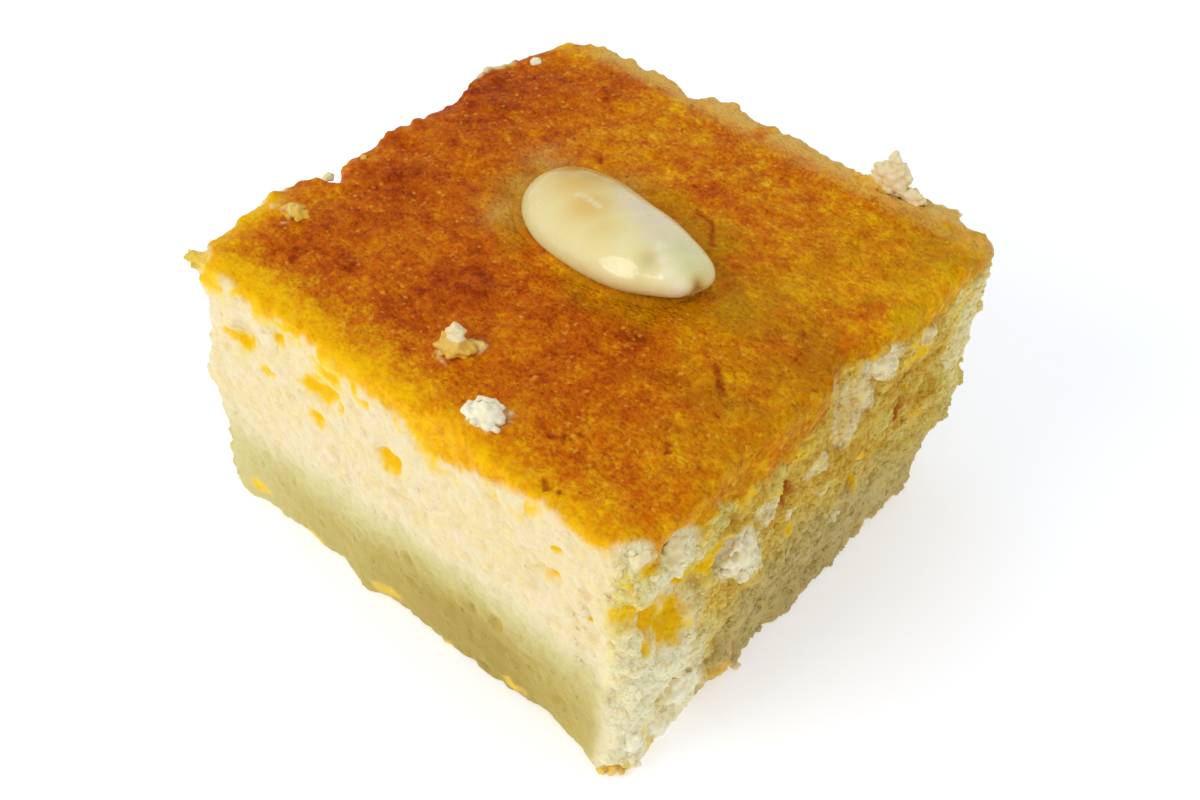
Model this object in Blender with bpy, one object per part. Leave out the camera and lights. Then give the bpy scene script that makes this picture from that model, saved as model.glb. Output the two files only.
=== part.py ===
"""One square-cut piece of basbousa, a semolina cake soaked in syrup, with a blanched almond in its crust.

Metres, +Z up. The origin is the middle of the flat base. The two clean knife cuts face -Y (front) and -X
(left), and the two rough, crumbly cuts face +X (right) and +Y (back).
"""

import math
import random
from collections import namedtuple

import bmesh
import bpy
from mathutils import Matrix, Vector, noise

MM = 0.001

# Cake block
SIDE = 52.0 * MM
HEIGHT = 29.8 * MM
HALF = SIDE / 2
CELLS_ACROSS = 32
CELLS_UP = 19

# Edges of the block, rounded by wear: how far they draw in or sink, and over what height
CORNER_WEAR = 0.55 * MM
RIM_DROP = 0.35 * MM
RIM_PULL_IN = 0.25 * MM
RIM_ROUND = 1.0 * MM
BASE_PULL_IN = 0.35 * MM
BASE_ROUND = 1.6 * MM

# A point nearer than this to a face of the plain block lies on that face
ON_FACE = 0.1 * MM

# How far an unevenness of the rim or of the base edge reaches over the surfaces that meet there
RIM_REACH_ON_TOP = 4.0 * MM
RIM_REACH_DOWN = 11.0 * MM
BASE_REACH_UP = 6.0 * MM

# Crumb texture: rounded grains and the clods they make up, each lying lower in the joints between them
CLOD = 4.2 * MM
GRAIN = 2.1 * MM
COBBLE_TOP = 0.65
COBBLE_FALL = 2.6
CLOD_SHARE = 0.7
GRAIN_SHIFT = Vector((0.3, 0.1, 0.2)) * MM
CLEAN_CUT_RELIEF = 0.28 * MM
ROUGH_CUT_RELIEF = 0.75 * MM

# The crust keeps the cuts from crumbling just under it
CRUST_HOLDS = 0.65
CRUST_HOLDS_DOWN = 2.5 * MM

# The crust waves a little and has a fine grain
CRUST_RELIEF = 0.16 * MM
CRUST_WAVE = 13.0 * MM
CRUST_GRAIN_SHARE = 0.5

# On the clean cuts the syrup has packed the crumb near the base, which makes it smoother there
PACKED_HEIGHT = 7.0 * MM
PACKED_SHARE = 0.6

# The piece is broken away at its right back corner, up to this height and this far along each base edge
BREAK_UP = 9.5 * MM
BREAK_ALONG = 9.0 * MM
BREAK_WAVE = 3.2 * MM
BREAK_WAVE_DEPTH = 0.8 * MM
BREAK_GRAIN_DEPTH = 0.5 * MM

# The front right corner has lost its tip of crust
CHIP_DOWN = 5.0 * MM
CHIP_IN = 2.6 * MM

# The mesh of the base meets at a point beside the middle
BASE_HUB = (3.0 * MM, 2.0 * MM)

# Almond, along its own axis: blunt end at -X, pointed end at +X, one side flatter than the other
ALMOND_LENGTH = 23.9 * MM
ALMOND_WIDTH = 10.8 * MM
ALMOND_THICKNESS = 6.2 * MM
ALMOND_TAPER = 0.176
ALMOND_FULLNESS = 0.06
ALMOND_ROUNDNESS = 2.31
ALMOND_BOW = -1.28 * MM

# How the almond lies: its middle, how far its back stands above the crust, and its point a little lifted
ALMOND_AT = (0.65 * MM, 2.06 * MM)
ALMOND_STANDS = 3.75 * MM
ALMOND_TURN = math.radians(-11.4)
ALMOND_LIFT = math.radians(-8.2)
ALMOND_RINGS = 24
ALMOND_SPOKES = 22
SEAT_GAP = 0.4 * MM

# A swell (out) or a loss (in) of an edge: its middle along the edge, its half width, how far it goes out
Swell = namedtuple("Swell", "at half_width out")

LEFT_RIM = (
    Swell(-15.0 * MM, 4.4 * MM, 1.35 * MM),
    Swell(-9.8 * MM, 0.9 * MM, -2.2 * MM),
    Swell(-1.4 * MM, 1.7 * MM, 0.8 * MM),
    Swell(13.6 * MM, 3.6 * MM, 2.1 * MM),
    Swell(25.5 * MM, 2.0 * MM, -1.1 * MM),
)
BACK_RIM = (
    Swell(-25.5 * MM, 3.0 * MM, -1.4 * MM),
    Swell(-17.8 * MM, 2.0 * MM, -0.6 * MM),
    Swell(-9.4 * MM, 1.2 * MM, -1.2 * MM),
    Swell(-4.6 * MM, 1.6 * MM, 0.5 * MM),
    Swell(5.6 * MM, 3.0 * MM, 0.5 * MM),
    Swell(19.0 * MM, 3.6 * MM, 1.0 * MM),
)
RIGHT_RIM = (
    Swell(-12.0 * MM, 3.0 * MM, -0.9 * MM),
    Swell(-5.0 * MM, 2.0 * MM, -0.6 * MM),
    Swell(2.6 * MM, 2.2 * MM, -2.0 * MM),
    Swell(16.0 * MM, 5.0 * MM, 0.4 * MM),
)
FRONT_RIM = (
    Swell(-22.0 * MM, 3.0 * MM, 0.5 * MM),
    Swell(5.6 * MM, 2.4 * MM, -0.9 * MM),
    Swell(15.0 * MM, 3.0 * MM, 0.3 * MM),
)
FRONT_BASE = (
    Swell(-22.7 * MM, 1.4 * MM, 0.7 * MM),
    Swell(-5.2 * MM, 1.6 * MM, 1.1 * MM),
    Swell(17.0 * MM, 2.4 * MM, -0.6 * MM),
    Swell(24.6 * MM, 2.2 * MM, 1.2 * MM),
)
RIGHT_BASE = (
    Swell(-23.0 * MM, 2.6 * MM, 1.0 * MM),
    Swell(-11.0 * MM, 2.0 * MM, 0.6 * MM),
    Swell(-1.0 * MM, 1.6 * MM, 0.4 * MM),
)
LEFT_BASE = (
    Swell(-19.0 * MM, 2.4 * MM, -0.5 * MM),
    Swell(2.0 * MM, 3.0 * MM, 0.5 * MM),
)
BACK_BASE = (
    Swell(-16.0 * MM, 3.0 * MM, 0.6 * MM),
    Swell(-2.0 * MM, 2.2 * MM, -0.7 * MM),
)

# A hollow torn in a cut face: its place along the face and above the base, its radius and its depth
Hollow = namedtuple("Hollow", "at height radius depth")

FRONT_HOLLOWS = (
    Hollow(-19.0 * MM, 24.0 * MM, 1.8 * MM, 0.9 * MM),
    Hollow(-14.4 * MM, 26.2 * MM, 1.4 * MM, 0.6 * MM),
    Hollow(-8.7 * MM, 22.9 * MM, 1.8 * MM, 0.9 * MM),
    Hollow(-1.0 * MM, 21.4 * MM, 1.6 * MM, 0.8 * MM),
    Hollow(17.2 * MM, 20.6 * MM, 1.6 * MM, 1.0 * MM),
    Hollow(22.2 * MM, 12.0 * MM, 2.6 * MM, 0.6 * MM),
)
RIGHT_HOLLOWS = (
    Hollow(-21.4 * MM, 19.4 * MM, 3.0 * MM, 2.3 * MM),
    Hollow(-16.8 * MM, 18.5 * MM, 2.4 * MM, 1.8 * MM),
    Hollow(-2.7 * MM, 14.2 * MM, 2.0 * MM, 1.6 * MM),
    Hollow(6.1 * MM, 12.7 * MM, 1.8 * MM, 1.0 * MM),
    Hollow(12.8 * MM, 12.4 * MM, 2.2 * MM, 1.4 * MM),
    Hollow(14.6 * MM, 19.6 * MM, 1.8 * MM, 1.2 * MM),
    Hollow(-5.2 * MM, 20.0 * MM, 2.0 * MM, 1.3 * MM),
    Hollow(3.0 * MM, 24.0 * MM, 2.6 * MM, 1.0 * MM),
)
BACK_HOLLOWS = (
    Hollow(-17.0 * MM, 17.0 * MM, 2.6 * MM, 1.5 * MM),
    Hollow(-4.0 * MM, 9.0 * MM, 2.2 * MM, 1.2 * MM),
    Hollow(9.0 * MM, 20.0 * MM, 2.4 * MM, 1.4 * MM),
)
LEFT_HOLLOWS = (
    Hollow(-12.0 * MM, 18.0 * MM, 1.8 * MM, 0.9 * MM),
    Hollow(9.0 * MM, 12.0 * MM, 1.8 * MM, 0.8 * MM),
)

# A cut face: the direction it faces, the direction that places run along it, its edges, its hollows, the
# depth of its texture and how much of that is packed smooth near the base
Face = namedtuple("Face", "outward along rim base hollows relief packed")

X_WAY = Vector((1, 0, 0))
Y_WAY = Vector((0, 1, 0))
FACES = (
    Face(-Y_WAY, X_WAY, FRONT_RIM, FRONT_BASE, FRONT_HOLLOWS, CLEAN_CUT_RELIEF, PACKED_SHARE),
    Face(-X_WAY, Y_WAY, LEFT_RIM, LEFT_BASE, LEFT_HOLLOWS, CLEAN_CUT_RELIEF, PACKED_SHARE),
    Face(X_WAY, Y_WAY, RIGHT_RIM, RIGHT_BASE, RIGHT_HOLLOWS, ROUGH_CUT_RELIEF, 0.0),
    Face(Y_WAY, X_WAY, BACK_RIM, BACK_BASE, BACK_HOLLOWS, ROUGH_CUT_RELIEF, 0.0),
)

# Front left upright edge: worn in near the crust and swollen halfway up
UPRIGHT_WORN = Swell(24.5 * MM, 3.0 * MM, -0.9 * MM)
UPRIGHT_SWOLLEN = Swell(14.5 * MM, 4.0 * MM, 0.8 * MM)
UPRIGHT_REACH = 4.0 * MM
UPRIGHT_OUTWARD = Vector((-0.7, -0.7, 0))

# A crumb stuck to the cake, all in millimetres: its middle, the half sizes of its heap, how many grains it
# has and their radius
Crumb = namedtuple("Crumb", "name at spread grains radius")
CRUST_MM = HEIGHT / MM

CRUMBS = (
    Crumb("golden_crumb_on_crust", (0.5, -19.0, CRUST_MM + 0.6), (1.1, 0.9, 0.4), 4, 1.35),
    Crumb("white_crumb_on_crust", (8.0, -22.9, CRUST_MM + 0.6), (1.2, 1.0, 0.3), 4, 1.2),
    Crumb("flat_crumb_by_left_rim", (-22.8, -15.9, CRUST_MM), (1.0, 0.6, 0.1), 3, 1.05),
    Crumb("crumb_standing_on_back_rim", (15.2, 25.2, CRUST_MM + 1.5), (1.2, 0.4, 1.6), 6, 1.3),
    Crumb("crumb_at_left_corner", (-25.3, -25.6, CRUST_MM - 1.0), (0.9, 0.6, 0.4), 3, 1.0),
    Crumb("big_lump_low_on_right", (26.0, -17.4, 5.6), (0.5, 1.5, 1.1), 5, 1.4),
    Crumb("lump_beside_it", (25.9, -12.8, 5.2), (0.4, 0.9, 0.7), 2, 1.2),
    Crumb("pale_chunk_on_right", (25.8, -11.0, 16.2), (0.5, 1.2, 1.2), 4, 1.3),
    Crumb("pale_chunk_by_front_edge", (25.5, -19.9, 24.8), (0.4, 1.1, 1.1), 3, 1.4),
    Crumb("pale_chunk_under_crust", (25.7, 8.8, 25.8), (0.4, 1.3, 0.7), 3, 1.2),
    Crumb("crumb_low_on_base_edge", (25.9, -9.4, 0.9), (0.3, 0.4, 0.2), 1, 0.9),
    Crumb("crumbs_at_front_foot", (25.4, -25.2, 1.9), (0.8, 0.8, 0.9), 3, 1.15),
)
GRAINS_SEED = 31
GRAIN_SIZES = (0.8, 1.15)
GRAIN_FAR_FROM_HEART = (0.6, 1.0)
GRAIN_AXIS = Vector((0.3, 0.8, 0.5))
GRAIN_FLATNESS = 0.72
GRAIN_ROUGHNESS = 0.55
GRAIN_RAGS = 0.9 * MM
LOWEST_GRAIN = 0.05 * MM

# Colour, roughness and metallic value of each sub-part
CAKE_LOOK = ((0.72, 0.45, 0.14, 1.0), 0.6, 0.0)
ALMOND_LOOK = ((0.86, 0.72, 0.46, 1.0), 0.35, 0.0)


def clear_scene():
    for old in list(bpy.data.objects):
        bpy.data.objects.remove(old, do_unlink=True)


def dress(obj, look):
    colour, roughness, metallic = look
    material = bpy.data.materials.new(obj.name)
    material.use_nodes = True
    shader = material.node_tree.nodes["Principled BSDF"]
    shader.inputs["Base Color"].default_value = colour
    shader.inputs["Roughness"].default_value = roughness
    shader.inputs["Metallic"].default_value = metallic
    material.diffuse_color = colour
    obj.data.materials.clear()
    obj.data.materials.append(material)


def object_from(name, shape):
    bmesh.ops.recalc_face_normals(shape, faces=shape.faces)
    mesh = bpy.data.meshes.new(name)
    shape.to_mesh(mesh)
    shape.free()
    mesh.shade_smooth()
    obj = bpy.data.objects.new(name, mesh)
    bpy.context.scene.collection.objects.link(obj)
    return obj


def hump(place, swell):
    """The height at a place of a rounded swell."""
    return swell.out * math.exp(-(((place - swell.at) / swell.half_width) ** 2))


def fade(distance, reach):
    """1 at an edge, and 0 from reach on."""
    left = max(0.0, 1.0 - distance / reach)
    return left * left * (3 - 2 * left)


def cobbles(point, size):
    """The height of rounded grains packed together, highest on top of each and below 0 in their joints."""
    nearest = noise.voronoi(point / size)[0][0]
    return COBBLE_TOP - COBBLE_FALL * nearest * nearest


def crumb_relief(point):
    """The texture of torn crumb: clods, with grains on them."""
    return CLOD_SHARE * cobbles(point, CLOD) + (1 - CLOD_SHARE) * cobbles(point + GRAIN_SHIFT, GRAIN)


def face_offset(face, point):
    """How far a point of the block's skin moves out along one cut face's direction."""
    inside = HALF - point.dot(face.outward)
    if inside >= RIM_REACH_ON_TOP:
        return 0.0
    place = point.dot(face.along)
    on_face = fade(inside, RIM_REACH_ON_TOP)
    rim_share = fade(HEIGHT - point.z, RIM_REACH_DOWN)
    base_share = fade(point.z, BASE_REACH_UP)
    out = rim_share * sum(hump(place, swell) for swell in face.rim)
    out += base_share * sum(hump(place, swell) for swell in face.base)
    if inside < ON_FACE:
        held = 1.0 - CRUST_HOLDS * fade(HEIGHT - point.z, CRUST_HOLDS_DOWN)
        loose = 1.0 - face.packed * fade(point.z, PACKED_HEIGHT)
        out += face.relief * held * loose * crumb_relief(point)
        for hollow in face.hollows:
            far = math.hypot(place - hollow.at, point.z - hollow.height) / hollow.radius
            out -= hollow.depth * math.exp(-far * far)
    return out * on_face


def broken_corner(point):
    """Holds a point within the slope left where the right back corner has broken off."""
    slope = BREAK_ALONG / BREAK_UP
    ragged = BREAK_WAVE_DEPTH * noise.noise(point / BREAK_WAVE) + BREAK_GRAIN_DEPTH * cobbles(point, GRAIN)
    limit = SIDE - BREAK_ALONG + slope * point.z + ragged
    over = point.x + point.y - limit
    if over > 0 and point.z < BREAK_UP:
        point = point - Vector((over / 2, over / 2, 0))
    return point


def chipped_corner(point):
    """Holds a point within the small slope where the crust has lost its tip at the front right corner."""
    depth = CHIP_IN * fade(HEIGHT - point.z, CHIP_DOWN)
    over = point.x - point.y - (SIDE - depth)
    if over > 0:
        point = point + Vector((-over / 2, over / 2, 0))
    return point


def shaped(point):
    """Where a point of the plain block goes on the real piece."""
    out = Vector((0, 0, 0))
    sides_met = 0
    for face in FACES:
        out += face.outward * face_offset(face, point)
        if point.dot(face.outward) > HALF - ON_FACE:
            sides_met += 1
            out -= face.outward * RIM_PULL_IN * fade(HEIGHT - point.z, RIM_ROUND)
            out -= face.outward * BASE_PULL_IN * fade(point.z, BASE_ROUND)
    if sides_met == 2:
        out -= Vector((math.copysign(CORNER_WEAR, point.x), math.copysign(CORNER_WEAR, point.y), 0))
    to_front_left = math.hypot(point.x + HALF, point.y + HALF)
    upright = hump(point.z, UPRIGHT_WORN) + hump(point.z, UPRIGHT_SWOLLEN)
    out += UPRIGHT_OUTWARD * upright * fade(to_front_left, UPRIGHT_REACH)
    if point.z > HEIGHT - ON_FACE:
        crust_grain = CRUST_GRAIN_SHARE * cobbles(point, GRAIN)
        out.z += -RIM_DROP if sides_met else CRUST_RELIEF * (noise.noise(point / CRUST_WAVE) + crust_grain)
    return broken_corner(chipped_corner(point + out))


def grid_skin(shape):
    """The block's skin: a grid over the crust and the four cut faces, and a fan over the flat base."""
    grid = {}

    def vertex(i, j, k):
        if (i, j, k) not in grid:
            plain = Vector((i / CELLS_ACROSS - 0.5, j / CELLS_ACROSS - 0.5, 0)) * SIDE
            plain.z = HEIGHT * k / CELLS_UP
            grid[i, j, k] = shape.verts.new(shaped(plain))
        return grid[i, j, k]

    def quad(a, b, c, d):
        shape.faces.new((vertex(*a), vertex(*b), vertex(*c), vertex(*d)))

    far = CELLS_ACROSS
    for i in range(far):
        for j in range(far):
            quad((i, j, CELLS_UP), (i + 1, j, CELLS_UP), (i + 1, j + 1, CELLS_UP), (i, j + 1, CELLS_UP))
        for k in range(CELLS_UP):
            quad((i, 0, k), (i + 1, 0, k), (i + 1, 0, k + 1), (i, 0, k + 1))
            quad((i, far, k), (i, far, k + 1), (i + 1, far, k + 1), (i + 1, far, k))
            quad((0, i, k), (0, i, k + 1), (0, i + 1, k + 1), (0, i + 1, k))
            quad((far, i, k), (far, i + 1, k), (far, i + 1, k + 1), (far, i, k + 1))
    hub = shape.verts.new((*BASE_HUB, 0))
    ring = [vertex(i, 0, 0) for i in range(far)]
    ring += [vertex(far, j, 0) for j in range(far)]
    ring += [vertex(i, far, 0) for i in range(far, 0, -1)]
    ring += [vertex(0, j, 0) for j in range(far, 0, -1)]
    for here, following in zip(ring, ring[1:] + ring[:1]):
        shape.faces.new((following, here, hub))


def make_block():
    shape = bmesh.new()
    grid_skin(shape)
    return object_from("cake", shape)


def make_grain(name, middle, radius, turn):
    """One ragged, flattened grain."""
    shape = bmesh.new()
    bmesh.ops.create_icosphere(shape, subdivisions=2, radius=radius)
    placing = Matrix.Rotation(turn, 4, GRAIN_AXIS) @ Matrix.Diagonal((1, 1, GRAIN_FLATNESS, 1))
    for vert in shape.verts:
        vert.co *= 1.0 + GRAIN_ROUGHNESS * noise.noise((vert.co + middle) / GRAIN_RAGS)
        vert.co = placing @ vert.co + middle
        vert.co.z = max(vert.co.z, LOWEST_GRAIN)
    return object_from(name, shape)


def grain_places(crumb, chance):
    """The middle of each grain of a crumb: one in the heart of the heap, the rest around it."""
    heart = Vector(crumb.at) * MM
    yield heart
    spread = Vector(crumb.spread) * MM
    for count in range(1, crumb.grains):
        turn = 2 * math.pi * (count + 0.5 * chance.random()) / (crumb.grains - 1)
        far = chance.uniform(*GRAIN_FAR_FROM_HEART)
        around = Vector((math.cos(turn) * far, math.sin(turn) * far, chance.uniform(-1, 1)))
        if spread.x < min(spread.y, spread.z):
            around = Vector((around.z, around.y, around.x))
        if spread.y < min(spread.x, spread.z):
            around = Vector((around.x, around.z, around.y))
        yield heart + around * spread


def make_crumbs(chance):
    """All the grains of all the crumbs, in a collection of their own."""
    grains = bpy.data.collections.new("grains")
    for crumb in CRUMBS:
        for count, middle in enumerate(grain_places(crumb, chance)):
            radius = crumb.radius * MM * chance.uniform(*GRAIN_SIZES)
            grain = make_grain(f"{crumb.name}_{count}", middle, radius, chance.uniform(0, math.pi))
            bpy.context.scene.collection.objects.unlink(grain)
            grains.objects.link(grain)
    bpy.context.scene.collection.children.link(grains)
    return grains


def fuse(block, grains):
    """One union joins the grains to the block, and the grains' own objects go."""
    union = block.modifiers.new("fused crumbs", "BOOLEAN")
    union.operation = "UNION"
    union.operand_type = "COLLECTION"
    union.collection = grains
    union.solver = "EXACT"
    graph = bpy.context.evaluated_depsgraph_get()
    fused = bpy.data.meshes.new_from_object(block.evaluated_get(graph))
    block.modifiers.clear()
    block.data = fused
    for grain in list(grains.objects):
        bpy.data.objects.remove(grain, do_unlink=True)
    bpy.data.collections.remove(grains)


def almond_half_width(along):
    """Half the almond's width at a place along it, from -1 at the blunt end to 1 at the point."""
    round_off = math.sqrt(max(0.0, 1.0 - abs(along) ** ALMOND_ROUNDNESS))
    return round_off * (1.0 - ALMOND_TAPER * along + ALMOND_FULLNESS * along * along)


def make_almond(name, grow):
    """A blanched almond, grown on every side by the given length."""
    length = ALMOND_LENGTH / 2 + grow
    width = ALMOND_WIDTH / 2
    thickness = ALMOND_THICKNESS / 2
    shape = bmesh.new()
    blunt = shape.verts.new((-length, 0, 0))
    rings = []
    for ring in range(1, ALMOND_RINGS):
        along = -math.cos(math.pi * ring / ALMOND_RINGS)
        half = almond_half_width(along)
        aside = ALMOND_BOW * (1 - along**2)
        spokes = []
        for spoke in range(ALMOND_SPOKES):
            turn = 2 * math.pi * spoke / ALMOND_SPOKES
            across = aside + half * (width + grow) * math.cos(turn)
            up = half * (thickness + grow) * math.sin(turn)
            spokes.append(shape.verts.new((along * length, across, up)))
        rings.append(spokes)
    point = shape.verts.new((length, 0, 0))
    for spoke in range(ALMOND_SPOKES):
        beside = (spoke + 1) % ALMOND_SPOKES
        shape.faces.new((blunt, rings[0][beside], rings[0][spoke]))
        shape.faces.new((point, rings[-1][spoke], rings[-1][beside]))
        for near, far in zip(rings, rings[1:]):
            shape.faces.new((near[spoke], near[beside], far[beside], far[spoke]))
    almond = object_from(name, shape)
    almond.location = (*ALMOND_AT, HEIGHT + ALMOND_STANDS - thickness)
    almond.rotation_euler = (0, ALMOND_LIFT, ALMOND_TURN)
    return almond


def cut_seat(block):
    """The hollow that the almond lies in."""
    cutter = make_almond("almond_seat", SEAT_GAP)
    cutter.hide_render = True
    cutter.display_type = "WIRE"
    cut = block.modifiers.new("almond seat", "BOOLEAN")
    cut.operation = "DIFFERENCE"
    cut.object = cutter
    cut.solver = "EXACT"


def main():
    clear_scene()
    block = make_block()
    fuse(block, make_crumbs(random.Random(GRAINS_SEED)))
    cut_seat(block)
    dress(block, CAKE_LOOK)
    dress(make_almond("almond", 0.0), ALMOND_LOOK)


main()
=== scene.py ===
"""Basbousa: a square of soaked semolina cake with a browned crust and a blanched almond in its top."""

import logging
import math
from collections.abc import Iterator
from dataclasses import dataclass, replace
from enum import Enum, IntEnum
from itertools import product

import bmesh
import bpy
import numpy as np
from mathutils import Matrix, Vector
from mathutils.kdtree import KDTree


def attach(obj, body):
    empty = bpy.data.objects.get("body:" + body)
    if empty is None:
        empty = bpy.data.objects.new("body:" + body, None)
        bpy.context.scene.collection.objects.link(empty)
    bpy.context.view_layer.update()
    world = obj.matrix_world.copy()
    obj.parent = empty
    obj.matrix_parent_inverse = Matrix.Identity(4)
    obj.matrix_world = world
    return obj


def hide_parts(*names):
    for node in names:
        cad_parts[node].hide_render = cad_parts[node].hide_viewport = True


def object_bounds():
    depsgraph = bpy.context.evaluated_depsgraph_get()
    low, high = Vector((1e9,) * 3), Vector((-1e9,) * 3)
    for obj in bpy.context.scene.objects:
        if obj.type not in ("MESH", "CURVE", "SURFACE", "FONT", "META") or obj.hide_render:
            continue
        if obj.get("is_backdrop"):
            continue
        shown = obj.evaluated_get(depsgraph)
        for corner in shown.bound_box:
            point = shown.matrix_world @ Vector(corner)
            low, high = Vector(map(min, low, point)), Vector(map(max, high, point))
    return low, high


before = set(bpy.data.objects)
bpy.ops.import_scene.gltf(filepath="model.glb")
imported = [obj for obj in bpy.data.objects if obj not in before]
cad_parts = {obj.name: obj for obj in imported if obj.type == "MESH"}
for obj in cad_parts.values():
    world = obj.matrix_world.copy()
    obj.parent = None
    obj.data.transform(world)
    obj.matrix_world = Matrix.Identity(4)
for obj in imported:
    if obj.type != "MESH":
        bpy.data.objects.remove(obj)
CAD_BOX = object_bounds()

MM = 0.001
HALF = 26.0
HEIGHT = 29.8

Array = np.ndarray
Socket = bpy.types.NodeSocket
Colour = tuple[float, float, float, float]
Pairs = tuple[tuple[float, float], ...]


def paint(code: str) -> Colour:
    """Turn a written colour into the light it stands for.

    Args:
        code: red, green and blue as six hexadecimal digits.

    Returns:
        Linear red, green and blue, and 1 for alpha.
    """
    parts = [int(code[place : place + 2], 16) / 255 for place in (0, 2, 4)]
    linear = [part / 12.92 if part <= 0.04045 else ((part + 0.055) / 1.055) ** 2.4 for part in parts]
    return (*linear, 1.0)


def rise(value: Array, low: float, high: float) -> Array:
    """Go smoothly from 0 to 1.

    Args:
        value: what is measured at each point.
        low: where the rise starts.
        high: where it ends.

    Returns:
        0 below low, 1 above high, and a smooth step between them.
    """
    share = np.clip((value - low) / (high - low), 0.0, 1.0)
    return share * share * (3.0 - 2.0 * share)


class Grit:
    """Noise over points in millimetres, the same on each run."""

    AXES = np.array((0x9E3779B185EBCA87, 0xC2B2AE3D27D4EB4F, 0x165667B19E3779F9), np.uint64)
    ROUNDS = (0xFF51AFD7ED558CCD, 0xC4CEB9FE1A85EC53)

    def __init__(self, seed: int) -> None:
        """Keep the seed that all draws start from."""
        self.seed = seed

    def draw(self, cells: Array, channel: int) -> Array:
        """Give each cell of space its own fixed number.

        Args:
            cells: whole-numbered places, three to a row.
            channel: which of the cell's numbers is wanted.

        Returns:
            One number from 0 to 1 for each row.
        """
        start = np.uint64((self.seed * 1000003 + channel * 7919) % (1 << 63))
        mixed = (cells.astype(np.int64).astype(np.uint64) * self.AXES).sum(axis=1) + start
        for factor in self.ROUNDS:
            mixed = (mixed ^ (mixed >> np.uint64(33))) * np.uint64(factor)
        mixed = mixed ^ (mixed >> np.uint64(33))
        return (mixed >> np.uint64(40)).astype(float) / float(1 << 24)

    def soft(self, points: Array, size: float, channel: int = 0) -> Array:
        """Smooth noise.

        Args:
            points: places in millimetres, three to a row.
            size: the width of its waves.
            channel: which pattern is wanted.

        Returns:
            One number from -1 to 1 for each point.
        """
        scaled = points / size
        low = np.floor(scaled)
        part = scaled - low
        part = part**3 * (part * (part * 6 - 15) + 10)
        total = np.zeros(len(points))
        for corner in product((0, 1), repeat=3):
            weight = np.prod(np.where(np.array(corner), part, 1 - part), axis=1)
            total += weight * self.draw(low + np.array(corner), channel)
        return total * 2 - 1

    def rough(self, points: Array, size: float, octaves: int, channel: int) -> Array:
        """Smooth noise with finer noise on it.

        Args:
            points: places in millimetres, three to a row.
            size: the width of the widest waves.
            octaves: how many times the waves are halved.
            channel: which pattern is wanted.

        Returns:
            One number from about -1 to 1 for each point.
        """
        total, share, whole = np.zeros(len(points)), 1.0, 0.0
        for octave in range(octaves):
            total += share * self.soft(points, size / 2**octave, channel + 10 * octave)
            whole += share
            share *= 0.55
        return total / whole * 1.4

    def grains(self, points: Array, size: float, channel: int) -> Iterator[tuple[Array, Array]]:
        """Go over the cells round each point, each with a grain at a chance place.

        Args:
            points: places in millimetres, three to a row.
            size: how far apart the grains are.
            channel: which scatter is wanted.

        Yields:
            A cell for each point, and the point's squared distance from its grain's middle.
        """
        scaled = points / size
        low = np.floor(scaled)
        for step in product((-1, 0, 1), repeat=3):
            cell = low + np.array(step)
            away = scaled - cell
            for axis in range(3):
                away[:, axis] -= 0.1 + 0.8 * self.draw(cell, channel + axis)
            yield cell, (away**2).sum(axis=1)

    def packed(self, points: Array, size: float, channel: int) -> tuple[Array, Array]:
        """Rounded grains of uneven size, packed together.

        Args:
            points: places in millimetres, three to a row.
            size: how far apart the grains' middles are.
            channel: which packing is wanted.

        Returns:
            The height over each point, 1 on a large grain and about 0 in the joints, and its grain's number.
        """
        best, owner = np.full(len(points), -1.0), np.zeros(len(points))
        for cell, far in self.grains(points, size, channel):
            size_draw = self.draw(cell, channel + 3)
            reach = 0.62 + 0.42 * size_draw
            height = (0.45 + 0.55 * size_draw) * (1.0 - far / reach**2)
            nearer = height > best
            best = np.where(nearer, height, best)
            owner = np.where(nearer, self.draw(cell, channel + 4), owner)
        return best, owner

    def dots(self, points: Array, size: float, share: float, channel: int) -> Array:
        """Lone round spots.

        Args:
            points: places in millimetres, three to a row.
            size: the spacing that the spots would have if each were there.
            share: how many of them are there.
            channel: which scatter is wanted.

        Returns:
            1 in the middle of a spot, falling to 0 at its edge and beyond.
        """
        best = np.zeros(len(points))
        for cell, far in self.grains(points, size, channel):
            reach = 0.22 + 0.3 * self.draw(cell, channel + 3)
            there = self.draw(cell, channel + 4) < share
            best = np.maximum(best, there * np.clip(1.0 - far / reach**2, 0.0, 1.0))
        return best


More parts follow.
